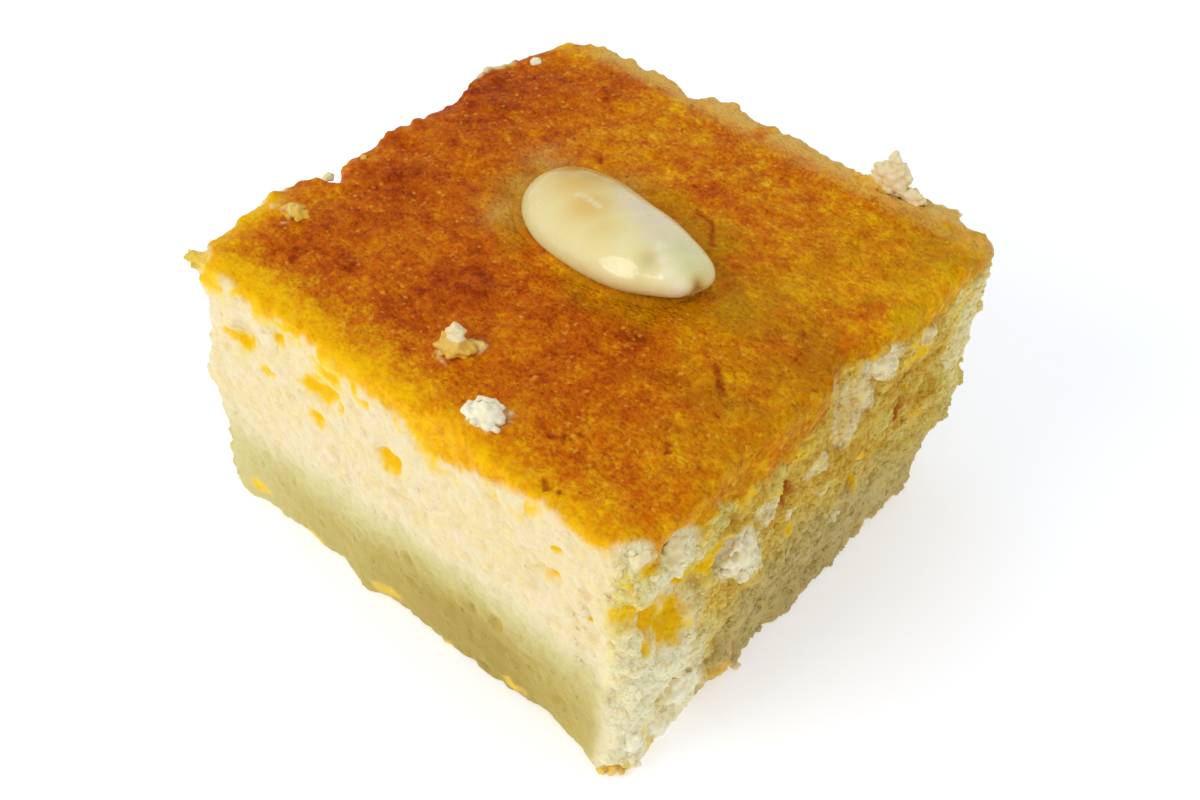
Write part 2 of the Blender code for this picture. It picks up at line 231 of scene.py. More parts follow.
@dataclass
class Skin:
    """A mesh held as arrays, in millimetres."""

    points: Array
    faces: Array

    def mesh(self, name: str, scale: float = 1.0) -> bpy.types.Mesh:
        """Write the arrays to a new mesh.

        Args:
            name: the mesh's name.
            scale: what each length is multiplied by.

        Returns:
            The mesh, shaded smooth.
        """
        corners = self.faces.shape[1]
        made = bpy.data.meshes.new(name)
        made.vertices.add(len(self.points))
        made.vertices.foreach_set("co", (self.points * scale).astype(np.float32).ravel())
        made.loops.add(self.faces.size)
        made.loops.foreach_set("vertex_index", self.faces.astype(np.int32).ravel())
        made.polygons.add(len(self.faces))
        made.polygons.foreach_set("loop_start", np.arange(0, self.faces.size, corners, dtype=np.int32))
        made.update(calc_edges=True)
        made.validate()
        made.shade_smooth()
        return made

    @classmethod
    def of(cls, mesh: bpy.types.Mesh, scale: float = 1.0) -> "Skin":
        """Read a mesh whose faces all have the same number of corners.

        Args:
            mesh: what is read.
            scale: what each length is multiplied by.

        Returns:
            Its points and faces.
        """
        points = np.empty(len(mesh.vertices) * 3, np.float32)
        mesh.vertices.foreach_get("co", points)
        order = np.empty(len(mesh.loops), np.int32)
        mesh.loops.foreach_get("vertex_index", order)
        corners = len(mesh.polygons[0].vertices)
        return cls(points.reshape(-1, 3).astype(float) * scale, order.reshape(-1, corners))

    def joined(self, other: "Skin") -> "Skin":
        """Return this skin and another as one."""
        faces = np.vstack((self.faces, other.faces + len(self.points)))
        return Skin(np.vstack((self.points, other.points)), faces)

    def corners(self) -> list[Array]:
        """Return the places of the faces' first, second and later corners."""
        return [self.points[self.faces[:, i]] for i in range(self.faces.shape[1])]

    def triangles(self) -> tuple[Array, Array, Array]:
        """Measure a skin of triangles.

        Returns:
            The area of each triangle, the direction that it faces, and its middle.
        """
        first, second, third = self.corners()
        across = np.cross(second - first, third - first)
        twice = np.linalg.norm(across, axis=1)
        return twice / 2, across / np.maximum(twice[:, None], 1e-9), (first + second + third) / 3

    def edges(self) -> Array:
        """Return each pair of points that a face's side joins, once for each face."""
        ahead = np.roll(self.faces, -1, axis=1)
        return np.vstack([np.stack((self.faces[:, i], ahead[:, i]), axis=1) for i in range(ahead.shape[1])])

    def normals(self) -> Array:
        """Find where the skin faces.

        Returns:
            Its direction at each point, drawn most from the largest faces.
        """
        first, second, third, *fourth = self.corners()
        if fourth:
            across = np.cross(third - first, fourth[0] - second)
        else:
            across = np.cross(second - first, third - first)
        total = np.zeros_like(self.points)
        for corner, axis in product(range(self.faces.shape[1]), range(3)):
            total[:, axis] += np.bincount(self.faces[:, corner], across[:, axis], len(self.points))
        return total / np.maximum(np.linalg.norm(total, axis=1, keepdims=True), 1e-9)

    def eased(self, rounds: int, share: float) -> Array:
        """Draw each point towards the middle of its neighbours.

        Args:
            rounds: how many times.
            share: how far each time, from 0 to 1.

        Returns:
            The new places of the points.
        """
        near, far = self.edges().T
        count = np.maximum(np.bincount(near, minlength=len(self.points))[:, None], 1)
        eased = self.points.copy()
        for _ in range(rounds):
            total = np.stack([np.bincount(near, eased[far, axis], len(eased)) for axis in range(3)], axis=1)
            eased += share * (total / count - eased)
        return eased

    def worked(self, kind: str, **settings: object) -> "Skin":
        """Run one modifier on the skin.

        Args:
            kind: the modifier's type.
            settings: its settings by name.

        Returns:
            The skin that comes out.
        """
        mesh = self.mesh("work in hand")
        holder = bpy.data.objects.new("work in hand", mesh)
        bpy.context.scene.collection.objects.link(holder)
        step = holder.modifiers.new("step", kind)
        for name, value in settings.items():
            setattr(step, name, value)
        done = bpy.data.meshes.new_from_object(holder.evaluated_get(bpy.context.evaluated_depsgraph_get()))
        result = Skin.of(done)
        bpy.data.objects.remove(holder)
        bpy.data.meshes.remove(mesh)
        bpy.data.meshes.remove(done)
        return result

    def fused(self, voxel: float) -> "Skin":
        """Fuse overlapping bodies into one even skin of four-cornered faces.

        Args:
            voxel: the size of its faces.

        Returns:
            The skin, with its steps smoothed.
        """
        even = self.worked("REMESH", mode="VOXEL", voxel_size=voxel, use_smooth_shade=True)
        return Skin(even.eased(1, 0.4), even.faces)


NOTHING = Skin(np.empty((0, 3)), np.empty((0, 3), int))


def piece(name: str, mesh: bpy.types.Mesh, material: bpy.types.Material) -> bpy.types.Object:
    """Put a finished mesh in the scene as a piece that rides with the cake.

    Args:
        name: the piece's name.
        mesh: its mesh, in metres.
        material: its finish.

    Returns:
        The object.
    """
    mesh.materials.clear()
    mesh.materials.append(material)
    made = bpy.data.objects.new(name, mesh)
    bpy.context.scene.collection.objects.link(made)
    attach(made, "root")
    return made


def note(mesh: bpy.types.Mesh, **marks: Array) -> None:
    """Write one number for each point of a mesh, for its finish to read.

    Args:
        mesh: the finished mesh.
        marks: the numbers by name.
    """
    for name, values in marks.items():
        layer = mesh.attributes.new(name, "FLOAT", "POINT")
        layer.data.foreach_set("value", values.astype(np.float32))


class Board:
    """The nodes of one material."""

    def __init__(self, name: str) -> None:
        """Start a material with a Principled shader and nothing else.

        Args:
            name: the material's name.
        """
        self.material = bpy.data.materials.new(name)
        self.material.use_nodes = True
        self.nodes = self.material.node_tree.nodes
        self.links = self.material.node_tree.links
        self.inputs = self.nodes["Principled BSDF"].inputs
        self.where = self.nodes.new("ShaderNodeTexCoord").outputs["Object"]

    def put(self, into: Socket, value: object) -> None:
        """Link a socket to another, or set it to a plain value.

        Args:
            into: the socket that takes it.
            value: an output socket, a number or a colour.
        """
        if isinstance(value, Socket):
            self.links.new(value, into)
        else:
            into.default_value = value

    def sum(self, kind: str, first: object, second: object, clamp: bool = False) -> Socket:
        """Work out one number from two.

        Args:
            kind: the operation, such as SUBTRACT.
            first: an output socket or a number.
            second: the other one.
            clamp: whether the result is held between 0 and 1.

        Returns:
            The result's socket.
        """
        node = self.nodes.new("ShaderNodeMath")
        node.operation = kind
        node.use_clamp = clamp
        self.put(node.inputs[0], first)
        self.put(node.inputs[1], second)
        return node.outputs[0]

    def plus(self, first: object, second: object, clamp: bool = False) -> Socket:
        """Add two numbers."""
        return self.sum("ADD", first, second, clamp)

    def times(self, first: object, second: object, clamp: bool = False) -> Socket:
        """Multiply two numbers."""
        return self.sum("MULTIPLY", first, second, clamp)

    def mark(self, name: str) -> Socket:
        """Read one of the numbers that note wrote.

        Args:
            name: the mark's name.

        Returns:
            The number's socket.
        """
        node = self.nodes.new("ShaderNodeAttribute")
        node.attribute_name = name
        return node.outputs["Fac"]

    def moved(self, shift: float) -> Socket:
        """Move the places that a pattern is drawn at, so that two patterns don't match.

        Args:
            shift: how far.

        Returns:
            The places' socket.
        """
        node = self.nodes.new("ShaderNodeVectorMath")
        self.links.new(self.where, node.inputs[0])
        node.inputs[1].default_value = (0.131 * shift, 0.077 * shift, 0.053 * shift)
        return node.outputs[0]

    def noise(self, size: float, detail: float, rough: float, shift: float) -> Socket:
        """Smooth noise over the object.

        Args:
            size: the width of its waves in millimetres.
            detail: how many times they are halved.
            rough: how strong the finer ones are.
            shift: moves the pattern.

        Returns:
            A socket that goes from 0 to 1.
        """
        node = self.nodes.new("ShaderNodeTexNoise")
        for name, value in (("Scale", 1.0 / (size * MM)), ("Detail", detail), ("Roughness", rough)):
            node.inputs[name].default_value = value
        self.links.new(self.moved(shift), node.inputs["Vector"])
        return node.outputs["Fac"]

    def cells(self, size: float, shift: float) -> dict[str, Socket]:
        """Grains over the object.

        Args:
            size: how far apart they are in millimetres.
            shift: moves the pattern.

        Returns:
            Their Distance and Color sockets.
        """
        node = self.nodes.new("ShaderNodeTexVoronoi")
        node.inputs["Scale"].default_value = 1.0 / (size * MM)
        self.links.new(self.moved(shift), node.inputs["Vector"])
        return {name: node.outputs[name] for name in ("Distance", "Color")}

    def ramp(self, value: Socket, places: tuple[float, ...], colours: tuple[Colour, ...]) -> Socket:
        """Turn a number into a colour.

        Args:
            value: the number's socket.
            places: numbers from 0 to 1.
            colours: the colour at each of them.

        Returns:
            The colour's socket.
        """
        node = self.nodes.new("ShaderNodeValToRGB")
        elements = node.color_ramp.elements
        while len(elements) < len(places):
            elements.new(1.0)
        for element, place, colour in zip(elements, places, colours):
            element.position = place
            element.color = colour
        self.put(node.inputs["Fac"], value)
        return node.outputs["Color"]

    def span(self, value: Socket, low: float, high: float, start: float = 0.0, end: float = 1.0) -> Socket:
        """Stretch a range of a number over another range, with smooth ends.

        Args:
            value: the number's socket.
            low: where the range starts.
            high: where it ends.
            start: what low becomes.
            end: what high becomes.

        Returns:
            The result's socket.
        """
        node = self.nodes.new("ShaderNodeMapRange")
        node.interpolation_type = "SMOOTHSTEP"
        for socket, number in zip(node.inputs, (value, low, high, start, end)):
            self.put(socket, number)
        return node.outputs["Result"]

    def mix(self, share: object, first: object, second: object) -> Socket:
        """Blend two colours.

        Args:
            share: how much of the second shows.
            first: a colour or its socket.
            second: a colour or its socket.

        Returns:
            The colour's socket.
        """
        node = self.nodes.new("ShaderNodeMix")
        node.data_type = "RGBA"
        for index, value in ((0, share), (6, first), (7, second)):
            self.put(node.inputs[index], value)
        return node.outputs[2]

    def bump(self, height: Socket, depth: float) -> None:
        """Make the finish feel a height.

        Args:
            height: a socket that goes from 0 to 1.
            depth: what 1 stands for, in millimetres.
        """
        node = self.nodes.new("ShaderNodeBump")
        node.inputs["Strength"].default_value = 1.0
        node.inputs["Distance"].default_value = depth * MM
        self.put(node.inputs["Height"], height)
        self.links.new(node.outputs["Normal"], self.inputs["Normal"])

    def finish(self, **settings: object) -> bpy.types.Material:
        """Set the shader's inputs.

        Args:
            settings: sockets or plain values by the input's name, with _ for a space.

        Returns:
            The material.
        """
        for name, value in settings.items():
            self.put(self.inputs[name.replace("_", " ")], value)
        return self.material


@dataclass(frozen=True)
class CakeFinish:
    """Moist semolina crumb under a browned, syrupy crust."""

    cream: Colour = paint("eedebc")
    cream_warm: Colour = paint("ecd698")
    white: Colour = paint("fef6d6")
    pale_lump: Colour = paint("f6e8b2")
    cream_lump: Colour = paint("e8d686")
    olive_lump: Colour = paint("dcc462")
    ochre_lump: Colour = paint("dab244")
    tan_lump: Colour = paint("cc9e34")
    damp_shaded: Colour = paint("e9dcb2")
    moist_shaded: Colour = paint("d6ca8c")
    soaked_shaded: Colour = paint("beaa5e")
    soaked_shaded_deep: Colour = paint("ac954a")
    wet_shaded_lump: Colour = paint("cbb472")
    wet_shaded_lump_deep: Colour = paint("bfa868")
    light_gold: Colour = paint("f8dc84")
    golden: Colour = paint("f6ca2c")
    deep_gold: Colour = paint("f2ba00")
    joint_and_dip_shade: Colour = paint("d09e2c")
    scorch: Colour = paint("a85c10")
    olive: Colour = paint("b48e00")
    haze: Colour = paint("e2b65c")
    rim_yellow: Colour = paint("f6bc00")
    amber: Colour = paint("e08c00")
    orange: Colour = paint("cf6a00")
    brown: Colour = paint("bb5200")
    dark: Colour = paint("943000")
    pit: Colour = paint("962e00")
    grain_glint: Colour = paint("f4b03c")
    soft_crumb: float = 0.5
    soft_crust: float = 0.22

    def make(self, name: str) -> bpy.types.Material:
        """Mix the finish.

        Args:
            name: the material's name.

        Returns:
            The material, which reads the marks that CakeBlock.marks gives.
        """
        board = Board(name)
        fine = board.noise(0.5, 2.0, 0.6, 1.0)
        middle = board.noise(1.5, 3.0, 0.65, 2.0)
        on_crust = board.mark("crust")
        grain = board.span(board.cells(0.45, 5.0)["Distance"], 0.0, 0.7, 1.0, 0.0)
        height = board.plus(board.times(fine, 0.6), board.times(grain, 0.6))
        felt = board.plus(board.span(on_crust, 0.0, 1.0, 0.4, 0.55), board.times(board.mark("torn"), 0.35))
        board.bump(board.times(height, felt), 0.3)
        return board.finish(
            Base_Color=board.mix(on_crust, self.crumb(board, fine, middle), self.crust(board, fine, middle)),
            Roughness=board.span(on_crust, 0.0, 1.0, 0.6, 0.42),
            Specular_IOR_Level=0.05,
            Subsurface_Weight=board.span(on_crust, 0.0, 1.0, self.soft_crumb, self.soft_crust),
            Subsurface_Radius=(1.0, 0.65, 0.25),
            Subsurface_Scale=0.9 * MM,
        )

    def crumb(self, board: Board, fine: Socket, middle: Socket) -> Socket:
        """Colour the crumb, from the clean pale cut to torn, syrupy lumps.

        Args:
            board: the material's nodes.
            fine: noise at the size of a grain.
            middle: noise at the size of a lump.

        Returns:
            The colour's socket.
        """
        soak_and_shade, torn = board.mark("soak_and_shade"), board.mark("torn")
        cut = board.mix(board.mark("tint"), self.cream, self.cream_warm)
        tones = (self.pale_lump, self.cream_lump, self.olive_lump, self.ochre_lump, self.tan_lump)
        lumps = board.ramp(board.mark("tone"), (0.0, 0.3, 0.55, 0.8, 1.0), tones)
        glint = board.times(board.span(fine, 0.5, 0.8), board.span(torn, 0.0, 1.0, 0.22, 0.1))
        crumb = board.mix(glint, board.mix(torn, cut, lumps), self.white)
        # The darker band low on the faces: soaked crumb and painted shade.
        wet_and_shade_stops = (self.cream, self.damp_shaded, self.moist_shaded, self.soaked_shaded, self.soaked_shaded_deep)
        wet_and_shade = board.ramp(soak_and_shade, (0.0, 0.2, 0.5, 0.8, 1.0), wet_and_shade_stops)
        wet_and_shaded_lumps = board.ramp(soak_and_shade, (0.0, 0.5, 1.0), (self.olive_lump, self.wet_shaded_lump, self.wet_shaded_lump_deep))
        crumb = board.mix(board.span(soak_and_shade, 0.0, 0.4), crumb, board.mix(torn, wet_and_shade, wet_and_shaded_lumps))
        # Dips take the golden joint colour: partly the joints' own colour, partly painted shade.
        crumb = board.mix(board.mark("sunk"), crumb, self.joint_and_dip_shade)
        crumb = board.mix(board.mark("pale"), crumb, board.mix(middle, self.white, self.pale_lump))
        gold = board.times(board.mark("gold"), board.span(middle, 0.3, 0.65, 0.8, 1.15), clamp=True)
        golds = board.ramp(gold, (0.0, 0.65, 1.0), (self.light_gold, self.golden, self.deep_gold))
        crumb = board.mix(board.span(gold, 0.0, 0.8), crumb, golds)
        return board.mix(board.mark("scorch"), crumb, self.scorch)

    def crust(self, board: Board, fine: Socket, middle: Socket) -> Socket:
        """Colour the crust, from the yellow rim to the darkest brown, with dark flecks and bright flecks that
        are part semolina grains and part painted glints.

        Args:
            board: the material's nodes.
            fine: noise at the size of a grain.
            middle: noise at the size of a lump.

        Returns:
            The colour's socket.
        """
        toast = board.mark("toast")
        uneven = board.times(board.plus(middle, -0.5), board.span(toast, 0.0, 0.4, 0.5, 1.2))
        grainy = board.times(board.plus(fine, -0.5), board.span(toast, 0.0, 0.4, 0.2, 0.65))
        toast = board.plus(board.plus(toast, uneven), grainy, clamp=True)
        browns = (self.rim_yellow, self.amber, self.orange, self.brown, self.dark)
        crust = board.ramp(toast, (0.0, 0.25, 0.48, 0.7, 1.0), browns)
        crust = board.mix(board.mark("olive"), crust, self.olive)
        # Paler tan: painted glare along the far rim, and halos beside the almond.
        crust = board.mix(board.mark("haze"), crust, self.haze)
        flecks = board.cells(0.6, 4.0)
        chances = board.nodes.new("ShaderNodeSeparateColor")
        board.links.new(flecks["Color"], chances.inputs[0])
        for_glint, for_dark, for_reach = chances.outputs[:3]
        from_middle = board.plus(flecks["Distance"], board.times(board.plus(fine, -0.5), 0.9))
        short_of = board.sum("SUBTRACT", board.span(for_reach, 0.0, 1.0, 0.12, 0.42), from_middle)
        inside = board.times(short_of, 6.0, clamp=True)
        # Bright flecks: part semolina grains, part painted glints.
        glint_flecks = board.times(inside, board.span(for_glint, 0.35, 0.95, 0.0, 0.5))
        dark = board.times(inside, board.span(for_dark, 0.72, 0.95, 0.0, 0.5))
        crust = board.mix(board.times(dark, board.span(toast, 0.1, 0.4)), crust, self.dark)
        crust = board.mix(glint_flecks, crust, self.grain_glint)
        return board.mix(board.mark("pit"), crust, self.pit)


@dataclass(frozen=True)
class CrumbFinish:
    """Loose semolina crumb, from white to golden."""

    cream: Colour = paint("eedc92")
    white: Colour = paint("fdf7de")
    warm: Colour = paint("dfb84e")
    golden: Colour = paint("e8b010")

    def make(self, name: str) -> bpy.types.Material:
        """Mix the finish.

        Args:
            name: the material's name.

        Returns:
            The material, which reads the marks white, gold and tint.
        """
        board = Board(name)
        fine = board.noise(0.5, 2.0, 0.6, 21.0)
        colour = board.mix(board.mark("tint"), self.cream, self.warm)
        colour = board.mix(board.mark("white"), colour, self.white)
        colour = board.mix(board.mark("gold"), colour, self.golden)
        board.bump(fine, 0.12)
        return board.finish(
            Base_Color=board.mix(board.span(fine, 0.5, 0.8, 0.0, 0.14), colour, self.white),
            Roughness=board.span(fine, 0.3, 0.7, 0.4, 0.6),
            Specular_IOR_Level=0.25,
            Subsurface_Weight=0.12,
            Subsurface_Radius=(1.0, 0.7, 0.35),
            Subsurface_Scale=0.8 * MM,
        )


class Tone(Enum):
    """The colours that lie in patches on the almond, among them a painted sheen on the far flank and painted
    shade in the notch at the tip.
    """

    HONEY = "honey"
    MOSS = "moss"
    # Rose-grey patches on the far flank: painted sheen.
    ROSE_SHEEN = "rose_sheen"
    GREEN = "green"
    TAN = "tan"
    PALE = "pale"
    # The notch under the tip: a dent with painted shade in it.
    NOTCH_SHADE = "notch_shade"


@dataclass(frozen=True)
class Spot:
    """A patch on the almond: its place across and back, its reach, its strength and how far it stands out."""

    across: float
    back: float
    reach: float
    strength: float
    height: float = 0.0


SPOTS = {
    Tone.HONEY: (Spot(-5.2, 3.0, 3.6, 0.85), Spot(-1.6, 0.2, 2.7, 0.75), Spot(1.4, -1.4, 2.0, 0.4)),
    Tone.MOSS: (
        Spot(-7.4, 4.8, 2.0, 0.95),
        Spot(-5.0, 5.0, 1.9, 0.9),
        Spot(-2.6, 5.3, 1.4, 0.6),
        Spot(11.6, -0.4, 1.3, 0.5),
    ),
    # Painted sheen on the far flank.
    Tone.ROSE_SHEEN: (
        Spot(-0.6, 4.1, 1.2, 0.5),
        Spot(1.7, 3.0, 1.5, 0.85),
        Spot(4.0, 1.9, 1.7, 0.9),
        Spot(6.0, 0.7, 1.7, 0.9),
    ),
    Tone.GREEN: (Spot(8.6, 0.9, 1.6, 0.8, -0.1), Spot(10.2, 0.0, 1.3, 0.75)),
    Tone.TAN: (Spot(7.3, -2.1, 1.1, 0.85, -0.15),),
    Tone.PALE: (
        Spot(7.2, -0.5, 0.7, 0.6, 0.08),
        Spot(8.3, -1.4, 0.7, 0.6, 0.1),
        Spot(9.5, -2.2, 0.8, 0.7, 0.12),
        Spot(10.8, -2.3, 0.8, 0.7, 0.1),
        Spot(-3.4, 0.7, 0.3, 0.6),
        Spot(-2.7, 0.85, 0.3, 0.6),
        Spot(-2.0, 0.7, 0.3, 0.8),
        Spot(-1.3, 0.55, 0.3, 0.8),
        Spot(-0.7, 0.4, 0.3, 0.6),
    ),
    # The notch under the tip: a dent with painted shade in it.
    Tone.NOTCH_SHADE: (Spot(12.0, -1.0, 0.6, 0.9, -0.4),),
}


@dataclass(frozen=True)
class AlmondFinish:
    """A blanched almond, baked and brushed with syrup; its tones are in the order of Tone."""

    ivory: Colour = paint("f1e6aa")
    warm: Colour = paint("efd684")
    shaded: Colour = paint("dcd894")
    tones: tuple[str, ...] = ("e4b010", "c8a000", "e6d6b8", "d4d8a2", "d4c27c", "f4ecd0", "b08a28")

    def make(self, name: str) -> bpy.types.Material:
        """Mix the finish.

        Args:
            name: the material's name.

        Returns:
            The material, which reads the mark low, a painted shade on the lower part, and one mark for each
            tone.
        """
        board = Board(name)
        middle = board.noise(2.5, 3.0, 0.55, 7.0)
        colour = board.mix(board.span(middle, 0.4, 0.75, 0.0, 0.3), self.ivory, self.warm)
        # Painted shade on the lower part, where the almond sits in the crust.
        colour = board.mix(board.mark("low"), colour, self.shaded)
        for tone, code in zip(Tone, self.tones):
            colour = board.mix(board.mark(tone.value), colour, paint(code))
        board.bump(board.noise(0.8, 3.0, 0.5, 8.0), 0.05)
        return board.finish(
            Base_Color=colour,
            Roughness=board.span(middle, 0.3, 0.7, 0.2, 0.36),
            Specular_IOR_Level=0.4,
            Subsurface_Weight=0.3,
            Subsurface_Radius=(1.0, 0.8, 0.4),
            Subsurface_Scale=1.5 * MM,
            Coat_Weight=0.32,
            Coat_Roughness=0.06,
        )


class Side(Enum):
    """The four cut faces, by where they face."""

    FRONT = "front"
    RIGHT = "right"
    BACK = "back"
    LEFT = "left"


@dataclass(frozen=True)
class Scatter:
    """Strewn grains: how many, from what to what radius, and how deep they sit for their radius."""

    count: int
    radius: tuple[float, float]
    sunk: tuple[float, float]


@dataclass(frozen=True)
class CutFace:
    """One of the cake's four cut sides; its crust edge and its darker lower band, soaked crumb and painted
    shade, are given at places along it.
    """

    side: Side
    outward: tuple[float, float, float]
    along: tuple[float, float, float]
    crust_edge: Pairs
    relief: float
    lumps: Scatter
    grains: Scatter
    soak_shade_top: Pairs
    soak_shade_share: Pairs
    torn: float

    def measure(self, points: Array) -> tuple[Array, Array]:
        """Return how far points are inside the face, and their places along it."""
        return HALF - points @ np.array(self.outward, float), points @ np.array(self.along, float)

    def edge_over(self, place: Array) -> Array:
        """Return how high the crust's edge is at places along the face."""
        return np.interp(place, *zip(*self.crust_edge))


@dataclass(frozen=True)
class Pocket:
    """A small hollow, lump or spot on a cut face: where it is, and how high, deep and wide for its height."""

    side: Side
    at: float
    height: float
    radius: float
    depth: float
    wide: float = 1.0


def pockets(side: Side, *rows: tuple[float, ...]) -> tuple[Pocket, ...]:
    """Return one pocket of a side for each row of numbers."""
    return tuple(Pocket(side, *row) for row in rows)


FACES = (
    CutFace(
        Side.FRONT,
        (0, -1, 0),
        (1, 0, 0),
        (
            *((-26, 29), (-21, 29.6), (-16, 29.2), (-11, 28.9), (-5.4, 28), (-2.4, 27.4), (1.2, 28)),
            *((4.5, 25.9), (6.8, 25.9), (10.2, 27.4), (14.5, 28.6), (22.7, 28.6), (25, 27.5)),
        ),
        0.32,
        Scatter(2600, (0.35, 0.8), (0.3, 0.75)),
        Scatter(200, (0.3, 0.45), (0.5, 0.8)),
        ((0, 11.0), (8, 12.0)),
        ((-25, 0.5), (-14, 0.72), (-6, 0.76), (3, 0.92), (12, 0.96), (20, 0.8), (26, 0.7)),
        0.2,
    ),
    CutFace(
        Side.RIGHT,
        (1, 0, 0),
        (0, 1, 0),
        (
            *((-26, 27), (-19, 27.4), (-15.5, 27.2), (-12, 25.6), (-9.9, 25.5), (-5.3, 24.2), (-2.3, 25.8)),
            *((0.2, 27.6), (2, 29.5), (4.6, 29.4), (10.3, 27), (14.8, 26), (20, 27), (25, 26.6)),
        ),
        0.8,
        Scatter(2900, (0.35, 1.0), (0.2, 0.75)),
        Scatter(4600, (0.22, 0.6), (0.2, 0.75)),
        ((-20, 8.0), (-10, 10.0)),
        ((-22, 0.12), (-14, 0.4), (-8, 0.92), (6, 0.95), (14, 0.5), (22, 0.42)),
        1.0,
    ),
    CutFace(
        Side.BACK,
        (0, 1, 0),
        (1, 0, 0),
        ((-26, 28.4), (-18, 27.2), (-9, 28.6), (-2, 27.8), (7, 28.6), (15, 27.4), (22, 28.4), (26, 27.6)),
        0.7,
        Scatter(2400, (0.35, 0.95), (0.1, 0.7)),
        Scatter(1600, (0.22, 0.5), (0.2, 0.8)),
        ((0, 8.5),),
        ((-26, 0.7), (0, 0.9), (26, 0.75)),
        0.6,
    ),
    CutFace(
        Side.LEFT,
        (-1, 0, 0),
        (0, 1, 0),
        ((-26, 28.6), (-17, 28.8), (-8, 27.6), (1, 28.6), (9, 28), (17, 28.8), (26, 28)),
        0.4,
        Scatter(2400, (0.35, 0.85), (0.2, 0.7)),
        Scatter(1500, (0.2, 0.45), (0.4, 0.85)),
        ((0, 9.0),),
        ((-26, 0.6), (0, 0.85), (26, 0.7)),
        0.35,
    ),
)
FACE_OF = {face.side: face for face in FACES}

# Hollows with yellow, syrupy crumb in them
POCKETS = (
    *pockets(Side.FRONT, (-20.6, 22.6, 1.2, 0.4, 1.9), (-14.6, 25.9, 0.8, 0.3, 1.1)),
    *pockets(Side.FRONT, (-16.1, 21.5, 1.0, 0.25), (-9.5, 23.2, 1.9, 0.35, 1.5), (-10.4, 19.3, 1.2, 0.3)),
    *pockets(Side.FRONT, (-7.8, 26.2, 1.5, 0.1, 1.6), (-4.7, 27.0, 1.2, 0.2, 0.6)),
    *pockets(Side.FRONT, (-0.9, 20.6, 1.4, 0.5, 1.3), (3.2, 27.4, 1.9, 0.2, 1.1), (25.2, 22.0, 1.3, 0.3)),
    *pockets(Side.FRONT, (17.6, 21.0, 1.1, 0.6, 1.1), (18.3, 24.9, 0.6, 0.3), (22.2, 19.5, 0.5, 0.3)),
    *pockets(Side.RIGHT, (-24.2, 21.2, 1.9, 0.4), (-21.6, 17.8, 2.8, 0.8), (-19.4, 15.6, 2.0, 0.6)),
    *pockets(Side.RIGHT, (-17.1, 18.6, 1.5, 0.5), (-15.2, 18.7, 1.7, 0.4), (-13.6, 20.6, 1.1, 0.3)),
    *pockets(Side.RIGHT, (-24.2, 27.0, 0.9, 0.2), (-14.6, 8.7, 0.8, 0.3), (7.1, 11.6, 1.0, 0.5)),
    *pockets(Side.RIGHT, (6.7, 14.2, 0.9, 0.5), (6.4, 16.0, 0.7, 0.4), (-2.5, 12.3, 0.9, 0.5)),
    *pockets(Side.RIGHT, (12.9, 24.2, 1.2, 0.4, 1.7), (15.6, 27.4, 0.6, 0.3), (15.0, 18.4, 1.0, 0.4)),
    *pockets(Side.RIGHT, (18.2, 12.5, 1.2, 0.3)),
    *pockets(Side.BACK, (-14, 21, 1.6, 0.8), (6, 24, 1.3, 0.7), (17, 17, 1.5, 0.8)),
    *pockets(Side.LEFT, (-15, 23, 1.5, 0.8), (3, 19, 1.2, 0.6), (13, 24, 1.7, 0.8)),
)

SCORCHES = (
    *pockets(Side.RIGHT, (12.2, 16.8, 1.3, 0.4), (12.4, 12.6, 1.5, 0.4), (15.4, 19.2, 0.7, 0.3)),
    *pockets(Side.RIGHT, (-4.8, 19.6, 1.3, 0.5)),
)

# Golden bits of crumb along the base
GOLDEN_BITS = (
    *pockets(Side.FRONT, (-20.9, 2.5, 1.2, 0, 1.3), (-12.8, 1.0, 0.9, 0, 1.3), (-2.7, 1.9, 1.4, 0, 1.4)),
    *pockets(Side.FRONT, (5.4, 0.8, 0.8, 0, 1.4), (13.4, 1.9, 0.9, 0, 1.6)),
    *pockets(Side.RIGHT, (-22.0, 1.0, 0.9, 0, 1.4)),
    *pockets(Side.BACK, (8.0, 1.2, 1.0, 0, 1.5)),
    *pockets(Side.LEFT, (-6.0, 1.4, 1.0, 0, 1.5)),
)

# Pale lumps that stand out of the rough cuts; their depth is below zero
PALE_LUMPS = (
    *pockets(Side.RIGHT, (-11.6, 17.6, 2.0, -0.5), (-20.4, 25.4, 2.1, -0.4), (7.9, 26.4, 1.7, -0.4)),
    *pockets(Side.RIGHT, (14.6, 27.0, 1.8, -0.3), (-18.6, 6.2, 2.2, -0.4), (5.4, 23.6, 1.9, -0.5)),
    *pockets(Side.RIGHT, (3.2, 21.4, 1.7, -0.6), (-0.8, 20.4, 1.7, -0.5), (-7.4, 20.4, 1.5, -0.5)),
    *pockets(Side.RIGHT, (-3.1, 15.6, 1.0, -0.4, 1.6), (1.6, 14.8, 0.8, -0.4), (4.6, 9.1, 0.8, -0.4)),
    *pockets(Side.BACK, (-9.0, 18.0, 2.0, -0.5), (13.0, 12.0, 2.2, -0.6)),
)

